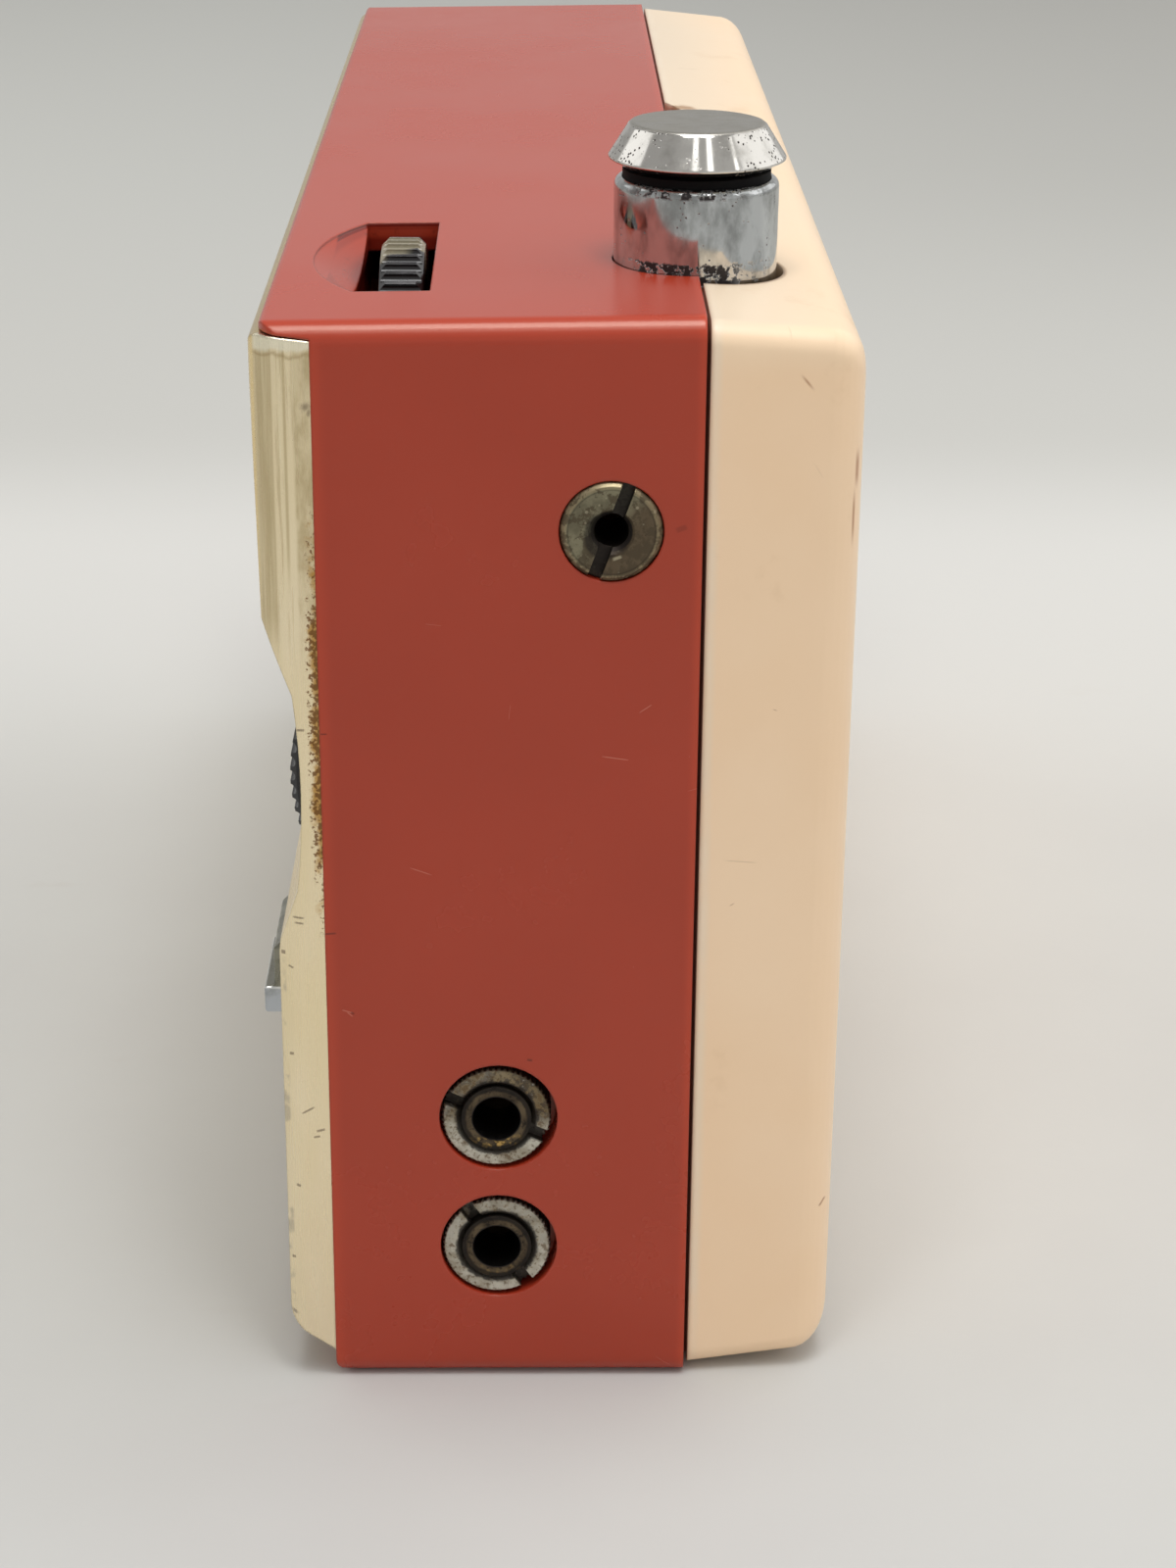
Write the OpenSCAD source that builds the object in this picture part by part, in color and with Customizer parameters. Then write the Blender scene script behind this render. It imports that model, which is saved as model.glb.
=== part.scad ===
// Portable transistor radio in a two-part moulded case, with a telescopic aerial.
// Millimetres. X runs along the width with the socket end at +X, Y from front to back, Z up.
// The origin is the centre of the flat bottom of the cabinet.

/* [Cabinet] */
// Width over the two ends
body_w = 146; // [144:1:170]
// Height at the seam with the back cover
body_h = 84; // [84:0.5:96]
// Depth of the end walls, from the front panel to the seam
body_d = 27; // [27:0.5:34]
// Thickness of the moulded walls
wall = 2.2; // [1.8:0.1:2.4]
// Radius of the long edges
corner_r = 1.6; // [1:0.1:2.4]
// Fall of the top towards the front, in degrees
top_slope = 1; // [0.5:0.1:3]
// Reach of the brow over the front panel
brow_out = 3.6; // [3.4:0.1:4]
// Thickness of the brow where it leaves the front
brow_t = 1.1; // [0.9:0.05:1.2]
// Radius of the bottom front edge
toe_r = 1.5; // [0.4:0.1:1.6]

/* [Back cover] */
// Depth of the cover behind the seam
cover_d = 11.3; // [11:0.5:18]
// Wall of the cover
cover_wall = 1.6; // [1.2:0.1:1.8]
// Step in from the cabinet at the seam
cover_step = 0.4; // [0.3:0.1:0.7]
// Draft of each side over the depth of the cover
cover_draft = 0.95; // [0.8:0.05:1.6]
// Radius of the back edges of the cover
cover_r = 3; // [2.4:0.1:4]
// Radius of the long edges of the cover
cover_corner = 1.6; // [1:0.1:2.4]
// Width of the groove at the seam
seam_gap = 0.3; // [0.2:0.05:0.5]
// Length of the thumb notch in the top edge
notch_l = 26; // [16:1:40]
// Depth of the thumb notch
notch_d = 3.2; // [2:0.1:4]
// Length of the cabinet tongue that the cover fits over
tongue_l = 2.2; // [1.6:0.1:2.8]
// Thickness of the tongue
tongue_t = 1; // [0.8:0.1:1.4]

/* [Front panel] */
// Sheet of the formed panel
panel_t = 0.7; // [0.5:0.1:0.9]
// Stand-out of the upper section
upper_out = 4.35; // [4.1:0.05:4.8]
// Lean of the upper section, forward towards its top
upper_lean = 0.4; // [0:0.05:0.6]
// Stand-out of the waist
waist_out = 1.45; // [1.3:0.05:2]
// Stand-out of the lower section
lower_out = 3.4; // [2.8:0.1:3.6]
// Half height of the waist between its slopes
waist_half = 7.6; // [7:0.1:8.4]
// Height of the slope above the waist
slope_up = 5.5; // [4:0.5:7]
// Height of the slope below the waist
slope_low = 4.4; // [4:0.1:6]
// Radius of the rounded foot
foot_r = 3; // [2:0.1:4]
// Slope of the foot below its rounding, in degrees
foot_slant = 35; // [25:1:45]
// Radius of the front corners in plan
plan_r = 2.4; // [1.6:0.1:2.8]
// Height of a grille slot
slot_h = 1.8; // [1.2:0.1:2.2]
// Grille slots above the middle one, and as many below it
grille_rows = 6; // [3:1:7]

/* [Tuning] */
// Drop of the tuning axis below the top of the case
tuning_drop = 35.4; // [35:0.2:37]
// Radius of the tuning thumbwheel over its ridges
tuning_r = 14; // [13.5:0.1:14.6]
// Width of the thumbwheels
wheel_w = 3.2; // [2.6:0.1:3.6]
// Ridge spacing round the thumbwheels
ridge_pitch = 1.1; // [1:0.05:1.6]
// Depth of a ridge
ridge_d = 0.4; // [0.25:0.05:0.5]
// Bevel of the rims of the thumbwheels
rim_bevel = 0.5; // [0.3:0.05:0.8]
// Inset of the tuning wheel from the socket end
tuning_inset = 4.5; // [4.2:0.1:5]
// Rim of the tuning wheel beyond the floor of the waist
tuning_proud = 1.15; // [0.8:0.05:1.6]
// Radius of the dial drum
drum_r = 10.8; // [10:0.1:11]
// Width of the dial drum
drum_w = 22; // [16:1:23]
// Radius of the control shafts
shaft_r = 3; // [2.4:0.1:3.2]
// Side of the square tuning capacitor
capacitor_side = 17; // [14:0.5:17.5]
// Length of the tuning capacitor along the shaft
capacitor_l = 11; // [8:0.5:11.5]

/* [Volume] */
// Radius of the volume thumbwheel over its ridges
volume_r = 11.4; // [10.6:0.1:11.6]
// Distance of the volume axis from the socket end
volume_inset = 20.7; // [20.6:0.1:22]
// Distance of the volume wheel behind the front of the cabinet wall
volume_back = 4; // [4:0.1:4.6]
// Rim of the volume wheel above the top of the case
volume_proud = 1.1; // [0.2:0.1:1.6]
// Length of the opening over the volume wheel
volume_slot_l = 22.6; // [21:0.2:22.8]
// Room in front of the volume wheel in its opening
room_front = 1.6; // [0.5:0.05:1.6]
// Room behind the volume wheel in its opening
room_back = 0.7; // [0.5:0.05:1.2]
// Reach of the finger scoop in front of the opening
scoop_out = 3.4; // [2:0.1:3.6]
// Radius of the volume control
control_r = 7.3; // [6.5:0.1:7.4]
// Depth of the volume control
control_d = 8; // [6:0.5:9]

/* [Band switch] */
// Width of the knob
knob_w = 9; // [7:0.5:10]
// Height of the knob below the top of the lower section
knob_h = 9.4; // [8.4:0.2:10]
// Stand-out of the knob from the lower section
knob_out = 1.95; // [1.6:0.05:3]
// Distance of the knob from the socket end
knob_inset = 8; // [7.5:0.5:9]
// Slide of the knob
band_travel = 6; // [3:0.5:6.5]
// Height of the switch slider
slider_h = 3; // [2:0.2:4]

/* [Aerial] */
// Distance of the aerial from the socket end
aerial_inset = 18.9; // [18.5:0.1:20]
// Outer radius of the fixed tube
aerial_r = 4; // [3.9:0.1:4.4]
// Step in radius from each tube to the next
aerial_step = 0.5; // [0.45:0.01:0.55]
// Wall of each tube
aerial_wall = 0.42; // [0.36:0.01:0.44]
// Slide of each moving section
aerial_travel = 55; // [44:1:57]
// Lap left between two sections at full reach
aerial_lap = 15; // [8:0.5:16]
// Radius of the collar
collar_r = 6; // [5.6:0.05:6.6]
// Height of the collar above the case
collar_h = 6; // [4:0.1:8]
// Rounding of the collar rim
collar_edge = 0.6; // [0.4:0.1:1]
// Widest radius of the cap
cap_r = 6.45; // [5.8:0.05:7]
// Radius of the flat top of the cap
cap_top_r = 5.05; // [4:0.05:5.4]
// Height of the cap
cap_h = 2.95; // [2.2:0.05:4]

/* [Sockets] */
// Bore radius of a jack
jack_bore_r = 1.8; // [1.6:0.05:2]
// Outer radius of the jack barrel
jack_r = 2.65; // [2.5:0.05:2.9]
// Radius of the round jack nut
jack_nut_r = 4.1; // [3.6:0.05:4.2]
// Radius of the recess round a jack nut
jack_recess_r = 4.45; // [4.3:0.05:4.8]
// Height of the lower jack
jack_z = 11.6; // [11.5:0.1:13]
// Distance between the jacks
jack_pitch = 11.1; // [11:0.1:12]
// Distance of the jacks in front of the seam
jack_front = 14.5; // [14:0.05:15]
// Radius of the slotted aerial socket head
socket_r = 3.6; // [3.2:0.1:4]
// Bore radius of the aerial socket
socket_bore_r = 1.2; // [1:0.05:1.4]
// Width of the slot across the head
socket_slot = 0.95; // [0.8:0.05:1.4]
// Distance of the aerial socket below the top of the case
socket_down = 15.05; // [14.5:0.05:16]
// Distance of the aerial socket in front of the seam
socket_front = 6.36; // [6:0.02:7]

/* [Loudspeaker] */
// Distance of the loudspeaker rim from the left end
speaker_margin = 11; // [10:0.5:14]
// Distance of the loudspeaker rim below the top of the case
speaker_drop = 4.5; // [4.5:0.5:8]
// Radius of the magnet
magnet_r = 14; // [10:0.5:16]
// Thickness of the magnet ring
magnet_h = 6; // [4:0.5:8]

/* [Circuit board] */
// Width of the main field of the board
board_w = 38; // [37:0.5:39]
// Thickness of the board
board_t = 1.6; // [1.2:0.1:2]
// Bottom edge of the board
board_z = 21; // [20.5:0.1:22]
// Radius of the ferrite rod
rod_r = 4.75; // [4:0.05:5]
// Length of the ferrite rod
rod_l = 60; // [50:1:66]

/* [Battery] */
// Radius of a cell
cell_r = 7.1; // [6.8:0.05:7.15]
// Room between the battery tray and the aerial foot
foot_room = 10.4; // [6:0.2:14]
// Wall of the battery tray
tray_wall = 1; // [0.8:0.1:1.2]

/* [Fits] */
// Radial running clearance of shafts and aerial tubes
run_gap = 0.08; // [0.05:0.01:0.1]
// Clearance between separate pieces that pass each other
clear = 0.35; // [0.3:0.05:0.5]

/* [Hidden] */

// Facets of round forms
$fn = 64;
// Steps in a rounded corner
arc_steps = 8;
// Overrun of a cut past the face that it opens
over = 1;
// Reach past the whole case, for cuts that go right through it
reach = 2 * body_w;

// Planes of the case
end_x = body_w / 2;
front_y = -body_d / 2;
seam_y = body_d / 2;
back_y = seam_y + cover_d;
baffle_t = 2;
baffle_y = front_y + baffle_t;
inner_x = end_x - wall;
slope_k = tan(top_slope);
tuning_z = body_h - tuning_drop;

// Cabinet tongue and the floor level inside it
tongue_gap = 0.7;
seam_depth = 0.7;
tongue_out = cover_step + cover_wall + tongue_gap;
tongue_in = tongue_out + tongue_t;
tongue_root = 3;
floor_z = tongue_in;

// Front panel
panel_gap = 0.1;
brow_z = top_at(front_y) - brow_t;
brow_rise = 0.4;
brow_r = 0.5;
panel_top = brow_z - panel_gap;
panel_end_t = panel_t + 0.6;
waist_rise = 0.45;
waist_z = tuning_z + 0.5;
window_half = 5;
foot_z = 6.4;
stud_r = 1;
stud_edge = 5.5;
stud_drop = 8;
nut_r = 2.2;
nut_h = 1.6;
stud_rise = floor_z + tray_wall + 2 * cell_r + nut_r + clear;
stud_places = [for (x = [-end_x + stud_edge, end_x - stud_edge])
    for (z = [stud_rise, panel_top - stud_drop]) [x, z]];

// Tuning train, from the socket end inwards
tuning_x1 = end_x - tuning_inset;
tuning_x0 = tuning_x1 - wheel_w;
tuning_y = front_y - waist_out - tuning_proud + tuning_r;
drum_gap = 2.2;
drum_x1 = tuning_x0 - drum_gap;
drum_x0 = drum_x1 - drum_w;
bracket_t = 1.2;
drum_half = sqrt(pow(drum_r, 2) - pow(tuning_y - baffle_y, 2)) + 2;
bracket_gap = 1.3;
bracket_x1 = drum_x0 - bracket_gap;
bracket_x0 = bracket_x1 - bracket_t;
capacitor_x0 = bracket_x0 - capacitor_l;
bracket_tab = 6;
bracket_lap = 2;
bracket_half = capacitor_side / 2 + bracket_lap;
bracket_back = tuning_y + capacitor_side / 2 - over;
tab_places = [tuning_z - bracket_half - bracket_tab / 2, tuning_z + bracket_half + bracket_tab / 2];
hub_r = shaft_r + 2;
skin = 0.6;
screw_r = 1;
head_r = 2.2;
head_h = 1.3;
tab_l = 6;
tab_x0 = bracket_x1 - tab_l;
tab_x = tab_x0 + head_r + panel_gap;
wheel_gap = 0.6;
panel_slot_half = sqrt(pow(tuning_r, 2) - pow(tuning_y - front_y + waist_out - panel_t, 2)) + wheel_gap;
baffle_slot_half = sqrt(pow(tuning_r, 2) - pow(tuning_y - baffle_y, 2)) + wheel_gap;
shaft_in = 5;
tap_l = 4;

// Volume control
volume_x = end_x - volume_inset;
volume_y0 = front_y + volume_back;
volume_y1 = volume_y0 + wheel_w;
volume_z = top_at(volume_y0) + volume_proud - volume_r;
board_y = baffle_y + 18.5;
board_back = board_y + board_t;
control_y0 = board_y - control_d;
scoop_r = (pow(volume_slot_l / 2, 2) + pow(scoop_out, 2)) / (2 * scoop_out);
scoop_y = volume_y0 - room_front - scoop_out + scoop_r;
scoop_slant = 3;
scoop_wall = 0.25;

// Band switch
knob_x1 = end_x - knob_inset;
knob_x0 = knob_x1 - knob_w;
knob_x = (knob_x0 + knob_x1) / 2;
knob_gap = 0.15;
knob_lip = 1.1;
knob_lip_t = 0.35;
knob_lip_bevel = 0.25;
knob_rise = 0.4;
knob_grip = 2.15;
knob_edge = 0.6;
lower_top = waist_z - waist_half - slope_low;
knob_foot = lower_top - knob_h;
knob_step = lower_top - 2.15;
knob_back = front_y - lower_out - knob_gap;
knob_front = front_y - lower_out - knob_out;
knob_socket = 0.8;
slider_w = 3;
slider_z = (knob_foot + knob_step) / 2;
slider_depth = 3.6;
slider_y = baffle_y + slider_depth;
switch_margin = 1.5;
switch_x0 = knob_x - slider_w / 2 - band_travel - switch_margin;
switch_x1 = knob_x + slider_w / 2 + switch_margin;
switch_x = (switch_x0 + switch_x1) / 2;
switch_half = slider_h / 2 + 2.5;
switch_d = slider_depth + 2.8;
ear_t = 1;
ear_l = 4;
ear_places = [slider_z - switch_half - ear_l / 2, slider_z + switch_half + ear_l / 2];

// Aerial
aerial_x = end_x - aerial_inset;
aerial_y = seam_y;
collar_top = body_h + collar_h;
ring_h = 0.6;
ring_seat = 1.2;
cap_z = collar_top + ring_h + clear;
tube_top = cap_z - 0.6;
tube_foot = tube_top - aerial_travel - aerial_lap;
base_foot = tube_foot - 2;
plate_t = 1.2;
plate_top = body_h - 4.6;
plate_half = 14;
plate_front = seam_y - 4.5;
plate_back = seam_y + 5;
pillar_reach = 10.6;
pillar_r = 2.2;
pillar_y = seam_y - pillar_r - clear;
foot_half = 6;
foot_reach = 12;
foot_flange = 2;
foot_seat = 5;
foot_screw = 9;
cap_seat = 1.6;
cap_under_w = 0.75;
cap_under_h = 0.42;
cap_rim_h = 0.14;
cap_round = 0.2;
collar_fit = 0.1;

// Sockets
jack_y = seam_y - jack_front;
jack_places = [jack_z, jack_z + jack_pitch];
jack_recess_d = 2.4;
recess_back = 0.15;
recess_up = 0.1;
jack_web = 1.6;
jack_boss_r = jack_recess_r + 1;
jack_boss_x = end_x - jack_recess_d - jack_web;
jack_nut_t = 2.15;
jack_nut_slot = 1.15;
jack_nut_slot_d = 0.9;
jack_nut_sink = 0.35;
jack_nut_edge = 0.15;
jack_nut_ridges = 60;
jack_nut_ridge_d = 0.13;
jack_flange_r = 4;
jack_flange_t = 1;
jack_block_l = 8;
jack_block_side = 8.2;
jack_x0 = jack_boss_x - jack_flange_t;
socket_y = seam_y - socket_front;
socket_z = body_h - socket_down;
socket_head_t = 1.1;
socket_shank_r = socket_bore_r + 1;
socket_tail = 4.5;
socket_tilt = 20;
socket_proud = 0.15;
socket_slot_d = 0.7;
socket_bevel = 0.3;
socket_sink = 0.45;
jack_sunk = 0.1;

// Circuit board
board_gap = 0.6;
board_x1 = bracket_x0 - board_gap;
board_x0 = board_x1 - board_w;
board_drop = 5.5;
board_top = body_h - board_drop;
arm_inset = 12;
arm_rise = 12.6;
board_arm_x1 = end_x - arm_inset;
board_arm_z = tuning_z + arm_rise;
board_edge = 4.5;
boss_r = 3;
board_places = [for (x = [board_x0 + board_edge, tab_x0 - clear - boss_r])
    for (z = [board_z + board_edge, board_top - board_edge]) [x, z]];
rod_up = 8;
rod_drop = 5;
rod_y = board_back + rod_up;
rod_z = board_top - rod_drop;
rod_x1 = board_x1;
coil_t = 0.8;
holder_w = 5;
holder_places = [board_x0 + 8.5, board_x1 - 15];
coil_spans = [[rod_x1 - rod_l + 3, holder_places[0] - 8],
    [holder_places[0] + holder_w + 1, holder_places[1] - 1]];

// Hole grid of the board, 2.5 mm on the full board
board_columns = 15.2;
board_rows = 23;
grid_x = board_w / board_columns;
grid_z = (board_top - board_z) / board_rows;
grid = min(grid_x, grid_z);

// Loudspeaker, front to back
speaker_gap = 4;
speaker_lift = 2.6;
speaker_foot = floor_z + 2 * cell_r + tray_wall + speaker_lift;
speaker_r = min(board_x0 - speaker_gap + end_x - speaker_margin,
    body_h - speaker_drop - speaker_foot) / 2;
speaker_x = -end_x + speaker_margin + speaker_r;
speaker_z = speaker_foot + speaker_r;
gasket_t = 1;
cone_t = 0.5;
flange_t = 1;
cone_y = baffle_y + gasket_t;
flange_y = cone_y + cone_t;
cone_rim = 4;
cone_r = speaker_r - cone_rim;
coil_r = 6;
frame_back = flange_y + 10;
frame_plate = 2;
pole_plate = 2;
speaker_hole_r = cone_r;
slot_pitch = speaker_hole_r / (grille_rows + 0.25);
speaker_screw_r = speaker_r + 3;
speaker_screw_places = [for (a = [45:90:315])
    [speaker_x + speaker_screw_r * cos(a), speaker_z + speaker_screw_r * sin(a)]];
big_head_r = 4;

// Battery tray
cell_bay = 2 * cell_r + 0.3;
contact_bay = 1.4;
button_l = 1.2;
cell_gap = 0.05;
tray_inset = 5;
tray_x0 = -end_x + tray_inset;
tray_l = aerial_x - foot_half - foot_room - tray_x0;
cell_l = tray_l / 2 - tray_wall - contact_bay - button_l - cell_gap;
tray_y0 = baffle_y + 0.3;
tray_w = 2 * cell_bay + 2 * tray_wall;
tray_h = 8;
cell_z = floor_z + tray_wall + cell_gap + cell_r;
cell_rows = [tray_y0 + tray_wall + cell_bay / 2, tray_y0 + tray_wall + cell_bay * 1.5];

// Height of the sloping top of the cabinet
function top_at(y) = body_h - (seam_y - y) * slope_k;

// Height of the slanted underside of the brow
function brow_at(y) = brow_z + (front_y - y) * brow_rise / brow_out;

// Points along an arc
function arc(cx, cy, r, a0, a1) =
    [for (i = [0:arc_steps]) let (a = a0 + (a1 - a0) * i / arc_steps) [cx + r * cos(a), cy + r * sin(a)]];

// Extrudes a profile drawn in X and Z from y0 to y1
module along_y(y0, y1) {
    translate([0, y1, 0]) rotate([90, 0, 0]) linear_extrude(y1 - y0) children();
}

// Extrudes a profile drawn in Y and Z from x0 to x1
module along_x(x0, x1) {
    translate([x0, 0, 0]) rotate([90, 0, 90]) linear_extrude(x1 - x0) children();
}

// Turns a form made about Z to lie about an axis along Y
module about_y(x, z) {
    translate([x, 0, z]) rotate([-90, 0, 0]) children();
}

// Turns a form made about Z to lie about an axis along X
module about_x(y, z) {
    translate([0, y, z]) rotate([0, 90, 0]) children();
}

// Round bar from one height to another on the Z axis
module bar(z0, z1, r) {
    translate([0, 0, z0]) cylinder(h = z1 - z0, r = r);
}

// Block between two corners
module block(a, b) {
    translate(a) cube([b[0] - a[0], b[1] - a[1], b[2] - a[2]]);
}

// Slot with round ends, drawn in X and Z
module round_slot(x0, x1, z, h) {
    translate([x0 + h / 2, z]) circle(d = h);
    translate([x1 - h / 2, z]) circle(d = h);
    translate([x0 + h / 2, z - h / 2]) square([x1 - x0 - h, h]);
}

// Screw with its head above z = 0 and its shank below
module screw(shank, length, head) {
    bar(-length, 0, shank);
    difference() {
        bar(0, head_h, head);
        translate([-head - over, -0.3, head_h - 0.5]) cube([2 * head + 2 * over, 0.6, over]);
    }
}

// Disc about Z with its two rims bevelled
module bevelled(r, z0, z1, low, high) {
    rotate_extrude() polygon([[0, z0], [r - low, z0], [r, z0 + low], [r, z1 - high], [r - high, z1], [0, z1]]);
}

// Round grooves along a rim, to be cut out of it
module ridge_cuts(r, z0, z1, count, depth) {
    translate([0, 0, z0 - over]) linear_extrude(z1 - z0 + 2 * over)
        for (i = [0:count - 1]) rotate(360 * i / count) translate([r, 0]) circle(r = depth, $fn = 16);
}

// Ridged thumbwheel about Z, with a hub bore and a lightened web on both faces
module thumbwheel(r, z0, z1) {
    ridges = round(2 * PI * r / ridge_pitch);
    web = (z1 - z0) * 0.3;
    difference() {
        bevelled(r, z0, z1, rim_bevel, rim_bevel);
        ridge_cuts(r, z0, z1, ridges, ridge_d);
        bar(z0 - over, z1 + over, shaft_r);
        for (z = [z0 - over, z1 - web]) translate([0, 0, z]) difference() {
            bar(0, web + over, r - 2.6);
            bar(-over, web + 2 * over, hub_r);
        }
    }
}

// Block below the sloping top, with the long edges of the top rounded
module under_top(inset) {
    half = end_x - inset;
    r = max(corner_r - inset, 0.5);
    flare = 10;
    translate([0, seam_y, body_h - inset]) rotate([top_slope, 0, 0]) along_y(-reach, reach) polygon(concat(
        arc(half - r, -r, r, 0, 90),
        arc(r - half, -r, r, 90, 180),
        [[-half - flare, -r - flare], [-half - flare, -reach],
         [half + flare, -reach], [half + flare, -r - flare]]));
}

// Outline of the case set in from the outside, from y0 to y1
module case_form(inset, y0, y1) {
    half = end_x - inset;
    r = max(corner_r - inset, 0.5);
    intersection() {
        along_y(y0, y1) polygon(concat(
            arc(r - half, inset + r, r, 180, 270),
            arc(half - r, inset + r, r, 270, 360),
            [[half, body_h + over], [-half, body_h + over]]));
        under_top(inset);
    }
}

// Space in front of the end walls and below the brow
module brow_cut() {
    far = front_y - brow_out - 5;
    along_x(-reach, reach) polygon(concat(
        [[far, -over], [front_y + toe_r, -over]],
        arc(front_y + toe_r, toe_r, toe_r, 270, 180),
        [[front_y, brow_z], [far, brow_at(far)]]));
}

// What the rounding takes off the front edge of the brow
module brow_edge() {
    nose = front_y - brow_out;
    along_x(-reach, reach) polygon(concat(
        [[nose - over, body_h + over], [nose - over, top_at(nose) - brow_r]],
        arc(nose + brow_r, top_at(nose) - brow_r, brow_r, 180, 90 + top_slope),
        [[nose + brow_r, body_h + over]]));
}

// Plan with rounded front corners, reaching forward to the nose
module plan_form(nose) {
    flare = 4;
    translate([0, 0, -over]) linear_extrude(body_h + 2 * over) polygon(concat(
        arc(plan_r - end_x, nose + plan_r, plan_r, 180, 270),
        arc(end_x - plan_r, nose + plan_r, plan_r, 270, 360),
        [[end_x + flare, nose + plan_r + flare], [end_x + flare, reach],
         [-end_x - flare, reach], [-end_x - flare, nose + plan_r + flare]]));
}

// Openings through the wall behind the front panel
module baffle_openings() {
    along_y(front_y - over, baffle_y + over) {
        translate([speaker_x, speaker_z]) circle(r = speaker_hole_r);
        translate([drum_x0 - drum_gap / 3, tuning_z - drum_half])
            square([drum_w + drum_gap * 2 / 3, 2 * drum_half]);
        translate([tuning_x0 - wheel_gap, tuning_z - baffle_slot_half])
            square([wheel_w + 2 * wheel_gap, 2 * baffle_slot_half]);
        band_slot();
        for (p = stud_places) translate(p) circle(r = stud_r + run_gap);
    }
}

// Ring that the back cover fits over, with its root against the cabinet wall
module tongue() {
    difference() {
        union() {
            case_form(wall - 0.2, seam_y - tongue_root, seam_y);
            case_form(tongue_out, seam_y - over, seam_y + tongue_l);
        }
        case_form(tongue_in, seam_y - tongue_root - over, seam_y + tongue_l + over);
        translate([aerial_x, aerial_y, plate_top]) cylinder(h = body_h, r = collar_r + 1.6);
    }
}

// Red moulding that carries everything else
module cabinet() color("#c25d4e") difference() {
    union() {
        difference() {
            intersection() {
                case_form(0, front_y - brow_out, seam_y);
                plan_form(front_y - brow_out);
            }
            brow_cut();
            brow_edge();
            case_form(wall, baffle_y, seam_y + over);
        }
        tongue();
        for (p = board_places) about_y(p[0], p[1]) bar(baffle_y - over / 2, board_y, boss_r);
        for (p = speaker_screw_places) about_y(p[0], p[1])
            bar(baffle_y - over / 2, flange_y + flange_t, boss_r - 0.5);
        for (z = jack_places) about_x(jack_y, z) bar(jack_boss_x, inner_x + over / 2, jack_boss_r);
        for (s = [-1, 1]) translate([aerial_x + s * pillar_reach, pillar_y, 0])
            bar(plate_top, top_at(pillar_y) - wall / 2, pillar_r);
        block([tray_x0, baffle_y - over / 2, wall - over / 2], [tray_x0 + tray_l, baffle_y + 2, floor_z]);
        block([aerial_x - foot_half - over, seam_y - foot_reach, wall - over / 2],
            [aerial_x + foot_half + over, seam_y - over, floor_z]);
    }
    baffle_openings();
    block([volume_x - volume_slot_l / 2, volume_y0 - room_front, volume_z],
        [volume_x + volume_slot_l / 2, volume_y1 + room_back, body_h + over]);
    intersection() {
        translate([volume_x, scoop_y, top_at(volume_y0) - scoop_wall]) {
            bar(0, wall, scoop_r);
            translate([0, 0, -wall]) cylinder(h = wall, r1 = scoop_r - wall * scoop_slant, r2 = scoop_r);
        }
        block([volume_x - volume_slot_l / 2, front_y - brow_out, volume_z],
            [volume_x + volume_slot_l / 2, volume_y0, body_h + over]);
    }
    for (z = jack_places) {
        about_x(jack_y, z) bar(jack_boss_x - over, end_x + over, jack_r + run_gap);
        about_x(jack_y + recess_back, z + recess_up)
            bar(end_x - jack_recess_d, end_x + over, jack_recess_r);
    }
    about_x(socket_y, socket_z) {
        bar(inner_x - over, end_x + over, socket_shank_r + run_gap);
        bar(end_x - socket_head_t, end_x + over, socket_r + run_gap);
    }
    translate([aerial_x, aerial_y, 0]) bar(plate_top, body_h + over, collar_r + collar_fit);
    for (s = [-1, 1]) translate([aerial_x + s * pillar_reach, pillar_y, 0])
        bar(plate_top - over, plate_top + 3, screw_r);
    for (p = board_places) about_y(p[0], p[1]) bar(board_y - 8, board_y + over, screw_r);
    for (p = speaker_screw_places) about_y(p[0], p[1]) bar(front_y + skin, flange_y + flange_t + over, screw_r);
    translate([aerial_x, seam_y - foot_screw, 0]) bar(skin, floor_z + over, screw_r);
    for (z = tab_places) about_y(tab_x, z) bar(front_y + skin, baffle_y + over, screw_r);
    for (z = ear_places) about_y(switch_x, z) bar(front_y + skin, baffle_y + over, screw_r);
}

// Rounded outline at depth y, set in from the outside of the cabinet
function cover_ring(inset, r, y) = [for (p = concat(
        arc(end_x - inset - r, body_h - inset - r, r, 0, 90),
        arc(inset + r - end_x, body_h - inset - r, r, 90, 180),
        arc(inset + r - end_x, inset + r, r, 180, 270),
        arc(end_x - inset - r, inset + r, r, 270, 360))) [p[0], y, p[1]]];

// Closed skin over rings of equal count, in their order
module loft(rings) {
    m = len(rings[0]);
    n = len(rings);
    polyhedron(points = [for (ring = rings) each ring], faces = concat(
        [[for (j = [m - 1:-1:0]) j]],
        [[for (j = [0:m - 1]) (n - 1) * m + j]],
        [for (i = [0:n - 2]) for (j = [0:m - 1]) let (k = (j + 1) % m)
            [i * m + j, i * m + k, (i + 1) * m + k, (i + 1) * m + j]]));
}

// Rings of the drafted cover with round back edges, set in by a wall, from the seam backwards
function cover_rings(wall_in) = let (
        r = cover_r - wall_in,
        corner = max(cover_corner - wall_in, 0.5),
        y1 = back_y - cover_r,
        edge = cover_step + wall_in,
        edge_back = edge + cover_draft * (y1 - seam_y) / cover_d)
    concat(wall_in > 0 ? [cover_ring(edge, corner, seam_y)] : [
            cover_ring(edge + seam_depth, corner - seam_depth, seam_y),
            cover_ring(edge + seam_depth, corner - seam_depth, seam_y + seam_gap),
            cover_ring(edge, corner, seam_y + seam_gap)],
        [for (a = [0:90 / arc_steps:90]) let (turn = r * (1 - cos(a)))
            cover_ring(edge_back + turn, corner, y1 + r * sin(a))]);

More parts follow.
